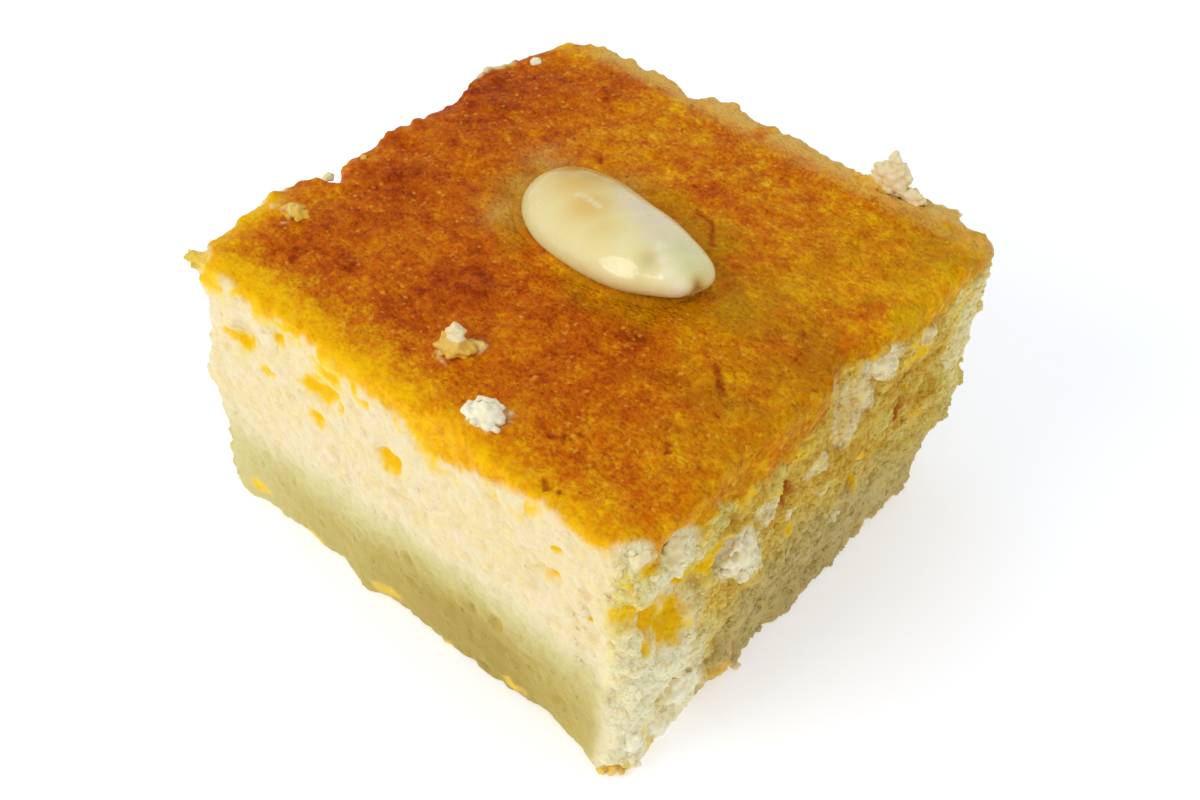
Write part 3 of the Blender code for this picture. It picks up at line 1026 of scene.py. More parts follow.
# Darker patches of the crust: across, back, reach and how much darker
DARK_PATCHES = (
    *((-5.4, -13.2, 4.5, 0.24), (0.5, -10.5, 4.0, 0.1), (-7.0, -18.6, 2.0, 0.2), (-14.1, -18.1, 1.6, 0.22)),
    *((-18.5, -20.4, 1.6, 0.2), (0.2, -17.1, 1.8, 0.2), (15.2, -14.2, 2.0, 0.16), (18.0, -10.0, 1.6, 0.18)),
    *((10.5, -7.4, 2.0, 0.2), (-20.5, -5.0, 3.5, 0.28), (-25.0, 9.5, 6.0, 0.3), (-24.5, 16.0, 4.0, 0.15)),
    *((13.2, -15.1, 3.0, 0.1), (-15.0, 20.5, 4.0, 0.16), (3.0, 13.0, 2.5, 0.14), (24.5, 2.0, 4.0, 0.24)),
    *((18.0, 13.0, 6.0, 0.08), (-26.0, 26.0, 8.0, -0.45)),
)

# Dark pits of the crust: across and back
CRUST_PITS = (
    *((16.4, -24.9), (17.3, -24.7), (15.8, -24.6), (13.0, -20.7), (13.9, -20.2), (14.6, -18.9)),
    *((20.8, -15.7), (20.2, -15.2), (23.4, -15.2), (21.1, -10.1), (6.6, -13.4), (25.2, -2.3)),
    *((-18.5, -20.2), (-14.1, -18.1), (1.0, 12.6), (-8.4, 9.4), (20.5, 2.5), (21.9, -0.4)),
)
PIT_RADIUS = 0.5

# Cracks of the crust, each a line of points across and back
CRACKS = (
    ((3.2, 10.2), (6.0, 8.9), (7.7, 6.5)),
    ((17.7, -5.6), (19.0, -6.9), (20.1, -7.7)),
)
CRACK_WIDTH = 0.4
FLAW_DEPTH = 0.1

# Pale tan halos beside the almond: across, back, reach and strength
HALOS = ((-9.6, -3.0, 2.0, 0.5), (-10.9, 1.4, 1.7, 0.4), (-12.0, 6.3, 2.2, 0.5), (-4.0, 8.8, 1.6, 0.25))

# Across minus back, past which the crust has lost its tip
CHIPPED_TIP = 49.2


class Look(Enum):
    """What a heap of loose crumb is made of: how white and how golden it is."""

    WHITE = (1.0, 0.0)
    CREAM = (0.6, 0.03)
    YELLOW = (0.1, 0.8)
    GOLDEN = (0.0, 0.8)


@dataclass(frozen=True)
class Heap:
    """A crumb stuck to the cake: its middle, half sizes, number of grains, their radius and its look."""

    at: tuple[float, float, float]
    spread: tuple[float, float, float]
    grains: int
    radius: float
    look: Look

    def away(self, points: Array, margin: float) -> Array:
        """Return how far points are from the middle, 1 at the heap's edge and a margin past it."""
        return np.linalg.norm((points - np.array(self.at)) / (np.array(self.spread) + margin), axis=1)


HEAPS = (
    Heap((0.5, -19.0, 30.3), (2.1, 1.5, 0.5), 110, 0.34, Look.YELLOW),
    Heap((0.1, -18.4, 31.1), (0.8, 0.7, 0.9), 50, 0.34, Look.CREAM),
    Heap((8.0, -22.9, 30.4), (2.1, 1.6, 0.6), 130, 0.34, Look.WHITE),
    Heap((-22.8, -15.9, 29.9), (1.7, 1.2, 0.3), 50, 0.32, Look.YELLOW),
    Heap((14.5, 25.1, 31.1), (2.5, 1.0, 1.8), 240, 0.38, Look.CREAM),
    Heap((13.0, 24.6, 30.0), (2.0, 0.9, 0.6), 60, 0.36, Look.YELLOW),
    Heap((17.5, 25.0, 30.2), (1.4, 0.8, 0.8), 50, 0.36, Look.CREAM),
    Heap((-25.3, -25.6, 28.8), (1.1, 0.8, 0.5), 26, 0.45, Look.YELLOW),
    Heap((-25.2, -10.0, 29.6), (0.6, 0.7, 0.3), 9, 0.4, Look.CREAM),
    Heap((-24.9, -5.8, 29.8), (0.4, 0.6, 0.2), 6, 0.35, Look.YELLOW),
    Heap((-24.6, 18.0, 29.7), (0.5, 0.6, 0.3), 9, 0.4, Look.WHITE),
    Heap((26.2, -18.4, 6.2), (1.1, 2.1, 2.0), 150, 0.45, Look.WHITE),
    Heap((26.0, -12.6, 2.8), (1.0, 1.5, 1.5), 70, 0.42, Look.GOLDEN),
    Heap((26.1, -11.7, 17.8), (1.1, 1.8, 2.1), 140, 0.45, Look.WHITE),
    Heap((25.7, -20.4, 25.6), (1.0, 1.9, 1.9), 130, 0.45, Look.CREAM),
    Heap((25.8, 7.9, 26.5), (0.9, 1.8, 1.2), 80, 0.42, Look.CREAM),
    Heap((25.5, -24.6, 28.4), (0.6, 0.7, 0.6), 16, 0.4, Look.CREAM),
    Heap((26.0, -20.8, 2.6), (0.9, 1.3, 1.2), 60, 0.42, Look.WHITE),
    Heap((26.0, -24.2, 4.0), (0.8, 1.0, 1.7), 60, 0.42, Look.WHITE),
    Heap((25.3, -25.7, 0.9), (1.2, 0.7, 0.6), 22, 0.45, Look.YELLOW),
    Heap((27.0, -10.4, 1.5), (0.4, 0.6, 0.3), 9, 0.35, Look.CREAM),
    Heap((14.7, 25.1, 32.7), (0.9, 0.6, 1.3), 50, 0.38, Look.CREAM),
)


@dataclass
class Sower:
    """Strews knobbly grains; knob is how uneven each is, as a share of its radius."""

    seed: int
    rounds: int
    knob: float

    def __post_init__(self) -> None:
        """Make the ball that all grains start from: 20 faces after 1 round, 80 after 2."""
        self.dice = np.random.default_rng(self.seed)
        work = bmesh.new()
        bmesh.ops.create_icosphere(work, subdivisions=self.rounds, radius=1.0)
        points = np.array([vert.co for vert in work.verts])
        self.ball = Skin(points, np.array([[vert.index for vert in face.verts] for face in work.faces]))
        work.free()

    def knobbly(self, middles: Array, radius: Array) -> Skin:
        """Turn, flatten and roughen a ball for each grain.

        Args:
            middles: the grains' middles, three to a row.
            radius: the grains' radii, one to a row.

        Returns:
            All grains, one after another.
        """
        dice, ball, count = self.dice, self.ball, len(middles)
        turn, _ = np.linalg.qr(dice.normal(size=(count, 3, 3)))
        turn[:, :, 0] *= np.sign(np.linalg.det(turn))[:, None]
        stretch = np.concatenate((np.ones((count, 1)), dice.uniform(0.7, 1.0, (count, 2))), axis=1)
        knobbly = ball.points[None] * (1 + dice.uniform(-self.knob, self.knob, (count, len(ball.points), 1)))
        shaped = np.einsum("nij,nvj->nvi", turn, knobbly * stretch[:, None] * radius[:, None])
        start = np.arange(count)[:, None, None] * len(ball.points)
        return Skin((shaped + middles[:, None]).reshape(-1, 3), (ball.faces[None] + start).reshape(-1, 3))

    def strewn(self, skin: Skin, chance: Array, scatter: Scatter) -> tuple[Skin, Array]:
        """Strew grains over a skin.

        Args:
            skin: what they lie on, in triangles.
            chance: how likely a grain is on each triangle.
            scatter: how many, how large and how deep.

        Returns:
            The grains and their middles.
        """
        dice, count = self.dice, scatter.count
        first, second, third = skin.corners()
        chosen = dice.choice(len(chance), count, p=chance / chance.sum())
        one, two = dice.random((2, count, 1))
        fold = one + two > 1
        one, two = np.where(fold, 1 - one, one), np.where(fold, 1 - two, two)
        middles = first[chosen] + one * (second - first)[chosen] + two * (third - first)[chosen]
        low, high = scatter.radius
        radius = low + (high - low) * dice.random((count, 1)) ** 1.8
        middles = middles - skin.triangles()[1][chosen] * radius * dice.uniform(*scatter.sunk, (count, 1))
        return self.knobbly(middles, radius), middles

    def all_strewn(self, skin: Skin, plan: list[tuple[Array, Scatter]]) -> tuple[Skin, Array]:
        """Strew one scatter after another over a skin.

        Args:
            skin: what they lie on, in triangles.
            plan: for each scatter, how likely a grain is on each triangle.

        Returns:
            The grains, none of them under the floor, and their middles.
        """
        made, centres = zip(*[self.strewn(skin, chance, scatter) for chance, scatter in plan])
        grains = NOTHING
        for some in made:
            grains = grains.joined(some)
        grains.points[:, 2] = np.maximum(grains.points[:, 2], 0.03)
        return grains, np.vstack(centres)


class Pattern(IntEnum):
    """The noise patterns of the block, each by the first channel that it draws from."""

    CRUST_EDGE = 40
    CRUST_FRAY = 41
    CLODS = 45
    LOOSE_FOOT = 46
    LUMPS = 50
    GRAINS = 60
    HOLES = 70
    CRUST_HOLES = 75
    SWELL = 76
    POCKET_EDGE = 80
    GOLD = 90
    SOAK_AND_SHADE = 95
    CORNER = 96
    BROWNING = 97
    TOAST = 100
    TOAST_FINE = 101
    NEAR_RIM = 102
    FAR_RIM = 103
    TOAST_SPOTS = 104
    OLIVE = 110
    HAZE_AND_GLARE = 115
    WANDER_ACROSS = 120
    WANDER_BACK = 121


@dataclass
class CakeBlock:
    """The block of cake: crumb with a crust on it."""

    finish: CakeFinish = CakeFinish()
    voxel: float = 0.33
    most_triangles: int = 196000
    grain_seed: int = 5
    tone_seed: int = 6
    rim: Scatter = Scatter(900, (0.25, 0.6), (0.3, 0.8))
    base: Scatter = Scatter(600, (0.25, 0.5), (0.45, 0.9))
    knob: float = 0.09
    crust_grain: float = 0.13
    clod_size: float = 4.2
    lump_size: float = 2.1
    grain_size: float = 0.95
    grit: Grit = Grit(11)
    skin: Skin | None = None

    def lumps(self, skin: Skin) -> tuple[Skin, Array]:
        """Strew lumps of semolina over the cut faces, the rim and the base.

        Args:
            skin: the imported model's cake, in triangles.

        Returns:
            The lumps, each a small closed body sunk in the face, and their middles.
        """
        area, facing, middle = skin.triangles()
        nearest = np.min([face.measure(middle)[0] for face in FACES], axis=0)
        rim = area * (middle[:, 2] > HEIGHT - 2.0) * (nearest < 1.0)
        base = area * (middle[:, 2] < 2.0) * (nearest < 1.2) * (facing[:, 2] > -0.7)
        plan = [(self.open_ground(skin, face), face.lumps) for face in FACES]
        plan += [(rim, self.rim), (base, self.base)]
        return Sower(self.grain_seed, 2, self.knob).all_strewn(skin, plan)

    def open_ground(self, skin: Skin, face: CutFace) -> Array:
        """Say how likely grains are to lie on each triangle of one cut face.

        Args:
            skin: the cake's skin, in triangles.
            face: the cut face.

        Returns:
            Each triangle's area where grains can lie, less low on a torn face, and 0 elsewhere.
        """
        area, facing, middle = skin.triangles()
        inside, _ = face.measure(middle)
        here = (facing @ np.array(face.outward, float) > 0.3) & (np.abs(facing[:, 2]) < 0.75) & (inside < 7)
        for pocket in POCKETS + SCORCHES:
            if pocket.side is face.side:
                here &= self.pocket_distance(middle, pocket) > 1.0
        return area * here * (1 - 0.6 * face.torn * (1 - rise(middle[:, 2], 6.0, 10.0)))

    def grain_tones(self, points: Array, middles: Array) -> Array:
        """Give all points of one grain the same chance number.

        Args:
            points: places in millimetres.
            middles: the grains' middles.

        Returns:
            A number from 0 to 1 for each point, that of the nearest grain.
        """
        tree = KDTree(len(middles))
        for index, middle in enumerate(middles):
            tree.insert(middle, index)
        tree.balance()
        tones = np.random.default_rng(self.tone_seed).random(len(middles))
        return tones[[tree.find(point)[1] for point in points]]

    def side_shares(self, points: Array) -> dict[Side, Array]:
        """Return how much each point belongs to each cut face, 1 on it and 0 well inside."""
        return {face.side: 1 - rise(face.measure(points)[0], 0.5, 3.5) for face in FACES}

    def clods(self, points: Array) -> tuple[Array, Array]:
        """Return the largest lumps' heights and numbers."""
        return self.grit.packed(points, self.clod_size, Pattern.CLODS)

    def coarse(self, points: Array) -> tuple[Array, Array]:
        """Return the middle-sized lumps' heights and numbers."""
        return self.grit.packed(points, self.lump_size, Pattern.LUMPS)

    def fine(self, points: Array) -> tuple[Array, Array]:
        """Return the finest lumps' heights and numbers."""
        return self.grit.packed(points, self.grain_size, Pattern.GRAINS)

    def crust_share(self, points: Array) -> Array:
        """Say where the crust is.

        Args:
            points: places in millimetres.

        Returns:
            1 on crust and 0 on crumb.
        """
        wobble = 0.75 * self.grit.rough(points, 2.6, 3, Pattern.CRUST_EDGE)
        wobble += 0.4 * self.grit.soft(points, 0.7, Pattern.CRUST_FRAY)
        below = np.full(len(points), -9.0)
        for face in FACES:
            inside, place = face.measure(points)
            below = np.maximum(below, face.edge_over(place) + wobble - points[:, 2] - 1.1 * inside)
        below = np.maximum(below, points[:, 0] - points[:, 1] - CHIPPED_TIP + wobble)
        front = rise(-points[:, 1], HALF - 3.0, HALF - 1.5)
        return 1 - rise(below / (0.35 + 0.25 * front), -1.0, 1.0)

    def relief(self, skin: Skin) -> Array:
        """Give the skin its grain, pockets and pits.

        Args:
            skin: the even skin.

        Returns:
            How far each point moves out, in millimetres.
        """
        grit, points = self.grit, skin.points
        clods, coarse, fine = self.clods(points)[0], self.coarse(points)[0], self.fine(points)[0]
        ragged = 0.5 * coarse + 0.55 * fine - 0.38
        crust = self.crust_share(points)
        shares = self.side_shares(points)
        low = 1 - rise(points[:, 2] + 1.5 * grit.soft(points, 4.0, Pattern.LOOSE_FOOT), 6.0, 10.0)
        out, total = np.zeros(len(points)), np.zeros(len(points))
        for face in FACES:
            loose = 1 - 0.65 * low * face.torn
            out += shares[face.side] * loose * (face.relief * ragged + 0.7 * face.torn * (clods - 0.5))
            total += shares[face.side]
        out /= np.maximum(total, 1.0)
        out *= 1 - 0.92 * crust
        for pocket in POCKETS + SCORCHES + PALE_LUMPS:
            far = self.pocket_distance(points, pocket)
            out -= 0.55 * pocket.depth * (1 - rise(far, 0.25, 1.05)) * (1 - crust)
        out -= 0.5 * (1 - crust) * grit.dots(points, 2.6, 0.14, Pattern.HOLES) * np.minimum(total, 1.0)
        for heap in HEAPS:
            out -= 0.45 * self.heap_share(points, heap)
        top = rise(points[:, 2], HEIGHT - 3.0, HEIGHT - 1.5)
        swell = 0.22 * top * grit.rough(points, 3.2, 2, Pattern.SWELL)
        out += crust * (self.crust_grain * (1.3 * fine + 0.5 * coarse - 0.8) + swell)
        holes = 0.2 * grit.dots(points, 2.2, 0.06, Pattern.CRUST_HOLES)
        return out - crust * (holes + FLAW_DEPTH * self.flaws(points))

    def flaws(self, points: Array) -> Array:
        """Say where the crust has its dark pits and cracks.

        Args:
            points: places in millimetres.

        Returns:
            1 in the middle of a pit or crack, and 0 beyond its edge.
        """
        patterns = (Pattern.WANDER_ACROSS, Pattern.WANDER_BACK)
        wander = np.stack([self.grit.soft(points, 0.9, pattern) for pattern in patterns], axis=1)
        flat = points[:, :2] + 0.3 * wander
        share = np.zeros(len(points))
        for place in CRUST_PITS:
            away = np.linalg.norm(flat - np.array(place), axis=1)
            share = np.maximum(share, 1 - rise(away, 0.3 * PIT_RADIUS, PIT_RADIUS))
        for line in CRACKS:
            for start, end in zip(line, line[1:]):
                step = np.array(end) - np.array(start)
                along = np.clip((flat - np.array(start)) @ step / (step @ step), 0, 1)[:, None]
                away = np.linalg.norm(flat - np.array(start) - along * step, axis=1)
                share = np.maximum(share, 0.9 * (1 - rise(away, 0.2 * CRACK_WIDTH, CRACK_WIDTH)))
        return share

    def pocket_distance(self, points: Array, pocket: Pocket) -> Array:
        """Measure points from a pocket.

        Args:
            points: places in millimetres.
            pocket: the pocket.

        Returns:
            0 in its middle and about 1 at its ragged edge.
        """
        inside, place = FACE_OF[pocket.side].measure(points)
        far = np.hypot((place - pocket.at) / pocket.wide, points[:, 2] - pocket.height) / pocket.radius
        far += rise(inside, 2.5, 3.5) * 5
        near = far < 2.2
        waves = max(1.0, 0.7 * pocket.radius)
        far[near] += 0.5 * self.grit.rough(points[near], waves, 3, Pattern.POCKET_EDGE)
        return far

    def over_pockets(self, points: Array, spots: tuple[Pocket, ...], low: float, high: float) -> Array:
        """Return 1 in the middle of any of some pockets, and 0 from high on, measured from their middles."""
        return np.max([1 - rise(self.pocket_distance(points, spot), low, high) for spot in spots], axis=0)

    def heap_share(self, points: Array, heap: Heap) -> Array:
        """Say where a stuck crumb lies.

        Args:
            points: places in millimetres.
            heap: the crumb.

        Returns:
            1 on it and 0 off it.
        """
        away = heap.away(points, heap.radius + 0.6)
        if heap.at[2] < HEIGHT - 0.5:
            return 1 - rise(away, 0.65, 1.1)
        return (away < 1.3) * rise(points[:, 2], HEIGHT + 0.25, HEIGHT + 0.45)

    def shaded_dips(self, skin: Skin) -> Array:
        """Say where a skin dips, for the painted shade in its dips.

        Args:
            skin: the finished skin.

        Returns:
            How far each point lies in a dip, from 0 to 1.
        """
        normals = skin.normals()
        near, wide = (((skin.eased(rounds, 0.6) - skin.points) * normals).sum(axis=1) for rounds in (8, 45))
        return np.maximum(rise(near, 0.0, 0.2), 0.7 * rise(wide, 0.05, 0.5))

    def gold(self, points: Array, shares: dict[Side, Array]) -> Array:
        """Say how golden the crumb is, in pockets, at the base and under the crust.

        Args:
            points: places in millimetres.
            shares: how much each point belongs to each cut face.

        Returns:
            A share from 0 to 1.
        """
        under = np.zeros(len(points))
        for face in FACES:
            _, place = face.measure(points)
            low = 1 - rise(face.edge_over(place) - points[:, 2], 0.4, 4.2)
            fresh = 1 - 0.8 * face.torn * rise(place, 12.0, 18.0)
            under = np.maximum(under, shares[face.side] * low * fresh)
        left_front = shares[Side.FRONT] * (1 - rise(points[:, 0], -8.0, 0.0))
        blotchy = self.grit.rough(points, 2.0, 3, Pattern.GOLD) + 0.3 * left_front
        in_pockets = self.over_pockets(points, POCKETS, 0.2, 1.4)
        at_base = 0.6 * self.over_pockets(points, GOLDEN_BITS, 0.3, 1.2)
        return np.max((in_pockets, 0.8 * under * rise(blotchy, 0.05, 0.5), at_base), axis=0)

    def wear(self, points: Array, shares: dict[Side, Array]) -> tuple[Array, Array]:
        """Say how torn the crumb is, and how dark its lower band is: soaked crumb and painted shade.

        Args:
            points: places in millimetres.
            shares: how much each point belongs to each cut face.

        Returns:
            Both, from 0 to 1.
        """
        torn, soak_and_shade = np.zeros(len(points)), np.zeros(len(points))
        # Darker towards the bottom of each face: soaked crumb and painted shade together.
        wave = 1.3 * self.grit.rough(points, 6.0, 3, Pattern.SOAK_AND_SHADE)
        for face in FACES:
            _, place = face.measure(points)
            height = np.interp(place, *zip(*face.soak_shade_top)) + wave
            wet_and_shade = (1 - rise(points[:, 2] - height, -6.5, 6.5)) * np.interp(place, *zip(*face.soak_shade_share))
            torn = np.maximum(torn, shares[face.side] * face.torn)
            soak_and_shade = np.maximum(soak_and_shade, shares[face.side] * wet_and_shade)
        broken = rise(np.min([face.measure(points)[0] for face in FACES], axis=0), 1.5, 3.5)
        soak_and_shade = np.maximum(soak_and_shade, 0.85 * broken * (1 - rise(points[:, 2], 2.5, 15.5)))
        return np.maximum(torn, 0.9 * broken), soak_and_shade

    def marks(self, points: Array, hollow: Array, middles: Array) -> dict[str, Array]:
        """Work out where each colour goes.

        Args:
            points: places in millimetres.
            hollow: how far each lies in a dip, from 0 to 1, for the painted shade in the dips.
            middles: the middles of the grains that have colours of their own.

        Returns:
            The marks that the finish reads.
        """
        grit = self.grit
        shares = self.side_shares(points)
        torn, soak_and_shade = self.wear(points, shares)
        large, small = self.coarse(points)[1], self.fine(points)[1]
        own = self.grain_tones(points, middles)
        pale = 0.55 * self.over_pockets(points, PALE_LUMPS, 0.7, 1.2)
        heaped, heap_gold = np.zeros(len(points)), np.zeros(len(points))
        for heap in HEAPS:
            share = self.heap_share(points, heap)
            white, golden = heap.look.value
            heaped = np.maximum(heaped, share)
            pale = np.maximum(pale, share * (0.5 + 0.5 * white))
            heap_gold = np.maximum(heap_gold, share * golden * 0.7)
        clods, patch = self.clods(points)
        gaps = torn * (1 - soak_and_shade) * (1 - rise(clods, 0.05, 0.45))
        from_edge = points[:, 1] + HALF + 1.5 * grit.rough(points, 3.0, 2, Pattern.CORNER)
        corner = shares[Side.RIGHT] * (1 - rise(from_edge, 6.5, 12.5)) * (1 - rise(points[:, 2], 14.0, 20.0))
        back = points[:, 1] + 2.0 * grit.rough(points, 5.0, 2, Pattern.BROWNING)
        browner = 0.15 + 0.6 * rise(back, -20.0, -10.0) - 0.5 * rise(back, 16.0, 22.0)
        tone = browner + 0.45 * (patch - 0.5) + 0.3 * (own - 0.5) + 0.25 * (large - 0.5)
        gold = 0.95 * self.gold(points, shares) * (1 - heaped)
        return {
            "crust": self.crust_share(points) * (1 - heaped),
            "toast": self.toast(points),
            "tint": np.clip(0.45 * large + 0.3 * small + 0.35 * own, 0, 1),
            "torn": rise(torn, 0.2, 0.9),
            "tone": np.clip(tone, 0, 1),
            "soak_and_shade": np.clip(soak_and_shade, 0, 1),
            "gold": np.maximum(gold, np.maximum(0.4 * gaps, heap_gold)),
            "pale": np.maximum(pale, 0.92 * corner),
            "scorch": self.over_pockets(points, SCORCHES, 0.5, 1.1) * (1 - heaped),
            # Painted shade in the dips, in the golden colour of the joints, more on torn faces.
            "sunk": hollow * (0.12 + 0.5 * torn),
            "olive": self.olive(points),
            "haze": self.haze(points),
            "pit": 0.85 * self.flaws(points),
        }

    def toast(self, points: Array) -> Array:
        """Say how brown the crust is.

        Args:
            points: places in millimetres.

        Returns:
            0 where it is yellow, 1 where it is darkest.
        """
        grit = self.grit
        across, back = points[:, 0], points[:, 1]
        toast = 0.52 + 0.13 * grit.rough(points, 9.0, 3, Pattern.TOAST)
        toast += 0.13 * grit.rough(points, 2.4, 3, Pattern.TOAST_FINE)
        toast += 0.16 * grit.dots(points, 3.6, 0.4, Pattern.TOAST_SPOTS)
        for x, y, reach, more in DARK_PATCHES:
            toast += more * np.exp(-((across - x) ** 2 + (back - y) ** 2) / reach**2)
        toast -= 0.14 * rise(across, 2, 20) + 0.16 * rise(back, 2, 12) * rise(across, -22, -8)
        left = 1.1 * (across + HALF) + 14.0 * rise(back, -17, -9)
        near = np.minimum(back + HALF, left) + 0.9 * grit.rough(points, 4.0, 2, Pattern.NEAR_RIM)
        far = np.minimum(HALF - across, HALF - back) + 0.6 * grit.rough(points, 3.0, 2, Pattern.FAR_RIM)
        nearer = 1.2 * rise(across, 0.0, 10.0)
        toast = toast * rise(near, -0.5 - nearer, 7.0 - nearer) ** 0.8
        return toast * (0.6 + 0.4 * rise(far, 0.0, 2.5))

    def olive(self, points: Array) -> Array:
        """Say where the crust is more olive: round the almond and on the right.

        Args:
            points: places in millimetres.

        Returns:
            A share from 0 to 1.
        """
        across, back = points[:, 0], points[:, 1]
        ring = np.hypot((across - 2.0) / 15.0, (back - 1.5) / 9.0)
        share = 0.5 * (1 - rise(ring, 0.8, 1.2)) + 0.4 * rise(across, 10, 22) * rise(back, -22, -8)
        return share * rise(self.grit.rough(points, 4.0, 3, Pattern.OLIVE), -0.9, 0.3)

    def haze(self, points: Array) -> Array:
        """Say where the crust is paler: painted glare along the far right rim, and pale tan halos beside the
        almond.

        Args:
            points: places in millimetres.

        Returns:
            A share from 0 to 1.
        """
        across, back = points[:, 0], points[:, 1]
        share = 0.95 * (1 - rise(HALF - back, 1.0, 4.5)) * rise(across, -25, -20)
        for x, y, reach, strength in HALOS:
            share = np.maximum(share, strength * np.exp(-((across - x) ** 2 + (back - y) ** 2) / reach**2))
        return share * rise(self.grit.rough(points, 2.4, 3, Pattern.HAZE_AND_GLARE), -1.1, 0.1)

    def bared(self, skin: Skin) -> Skin:
        """Lower the solid's crumbs on the crust, so that the loose heaps stand in for them.

        Args:
            skin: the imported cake.

        Returns:
            The same skin without them.
        """
        points = skin.points.copy()
        for heap in HEAPS:
            if heap.at[2] > HEIGHT + 0.5:
                away = np.linalg.norm((points - np.array(heap.at))[:, :2], axis=1)
                lowered = np.minimum(points[:, 2], HEIGHT + 0.3)
                points[:, 2] = np.where(away < max(heap.spread) + 2.0, lowered, points[:, 2])
        return Skin(points, skin.faces)

    def build(self) -> bpy.types.Object:
        """Build the block and dress it.

        Returns:
            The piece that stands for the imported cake.
        """
        packed = self.bared(Skin.of(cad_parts["cake"].data, 1 / MM))
        lumps, middles = self.lumps(packed)
        even = packed.joined(lumps).fused(self.voxel)
        normals = even.normals()
        moved = even.points + normals * self.relief(even)[:, None]
        flat = rise(-normals[:, 2], 0.6, 0.9) * (even.points[:, 2] < 1.5)
        moved[:, 2] = np.where(flat > 0, even.points[:, 2] * (1 - flat), moved[:, 2])
        moved[:, 2] = np.maximum(moved[:, 2], 0.0)
        ratio = min(1.0, self.most_triangles / (2 * len(even.faces)))
        self.skin = Skin(moved, even.faces).worked("DECIMATE", ratio=ratio, use_collapse_triangulate=True)
        done = self.skin.mesh("cake crumb and crust", MM)
        note(done, **self.marks(self.skin.points, self.shaded_dips(self.skin), middles))
        made = piece("cake_crumb_and_crust", done, self.finish.make("cake crumb and crust"))
        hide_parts("cake")
        return made


@dataclass
class SemolinaGrains:
    """The finest grains, loose on the cut faces of a finished block."""

    block: CakeBlock
    seed: int = 12
    knob: float = 0.12

    def build(self) -> bpy.types.Object:
        """Strew the grains and dress them.

        Returns:
            The piece that holds them all.
        """
        skin = self.block.skin
        bare = self.block.crust_share(skin.triangles()[2]) < 0.3
        sower = Sower(self.seed, 1, self.knob)
        plan = [(self.block.open_ground(skin, face) * bare, face.grains) for face in FACES]
        grains, middles = sower.all_strewn(skin, plan)
        marks = self.block.marks(middles, np.zeros(len(middles)), middles)
        mesh = grains.mesh("semolina grains", MM)
        mesh.shade_flat()
        note(mesh, **{name: np.repeat(values, len(sower.ball.points)) for name, values in marks.items()})
        finish = replace(self.block.finish, soft_crumb=0.0)
        return piece("semolina_grains", mesh, finish.make("semolina grains"))


@dataclass
class LooseCrumbs:
    """The crumbs stuck on the crust and the cut faces, each a heap of grains."""

    finish: CrumbFinish = CrumbFinish()
    voxel: float = 0.15
    seed: int = 8
    knob: float = 0.25
    grit: Grit = Grit(31)

    def build(self) -> bpy.types.Object:
        """Build the heaps and dress them.

        Returns:
            The piece that holds them all.
        """
        sower = Sower(self.seed, 2, self.knob)
        dice, skin = sower.dice, NOTHING
        for heap in HEAPS:
            middles = dice.normal(size=(heap.grains, 3))
            middles /= np.linalg.norm(middles, axis=1, keepdims=True)
            middles *= dice.uniform(0.2, 1.0, (heap.grains, 1))
            middles[0] = 0
            radius = heap.radius * dice.uniform(0.5, 1.1, (heap.grains, 1))
            radius[0] = 0.75 * np.mean(heap.spread)
            placed = np.array(heap.at) + middles * np.array(heap.spread)
            skin = skin.joined(sower.knobbly(placed, radius))
        skin.points[:, 2] = np.maximum(skin.points[:, 2], 0.05)
        even = skin.fused(self.voxel)
        grain, _ = self.grit.packed(even.points, 0.55, 1)
        points = even.points + even.normals() * (0.16 * grain - 0.06)[:, None]
        points[:, 2] = np.maximum(points[:, 2], 0.02)
        mesh = Skin(points, even.faces).mesh("loose crumbs", MM)
        nearest = np.argmin([heap.away(points, heap.radius) for heap in HEAPS], axis=0)
        white, gold = np.array([heap.look.value for heap in HEAPS])[nearest].T
        foot = (1 - rise(points[:, 2] - HEIGHT, 0.3, 1.6)) * (points[:, 2] > HEIGHT - 1)
        _, tint = self.grit.packed(points, 0.9, 9)
        note(mesh, white=white * (0.6 + 0.4 * tint), gold=gold * (0.6 + 0.4 * foot), tint=tint)
        return piece("loose_crumbs", mesh, self.finish.make("loose crumbs"))


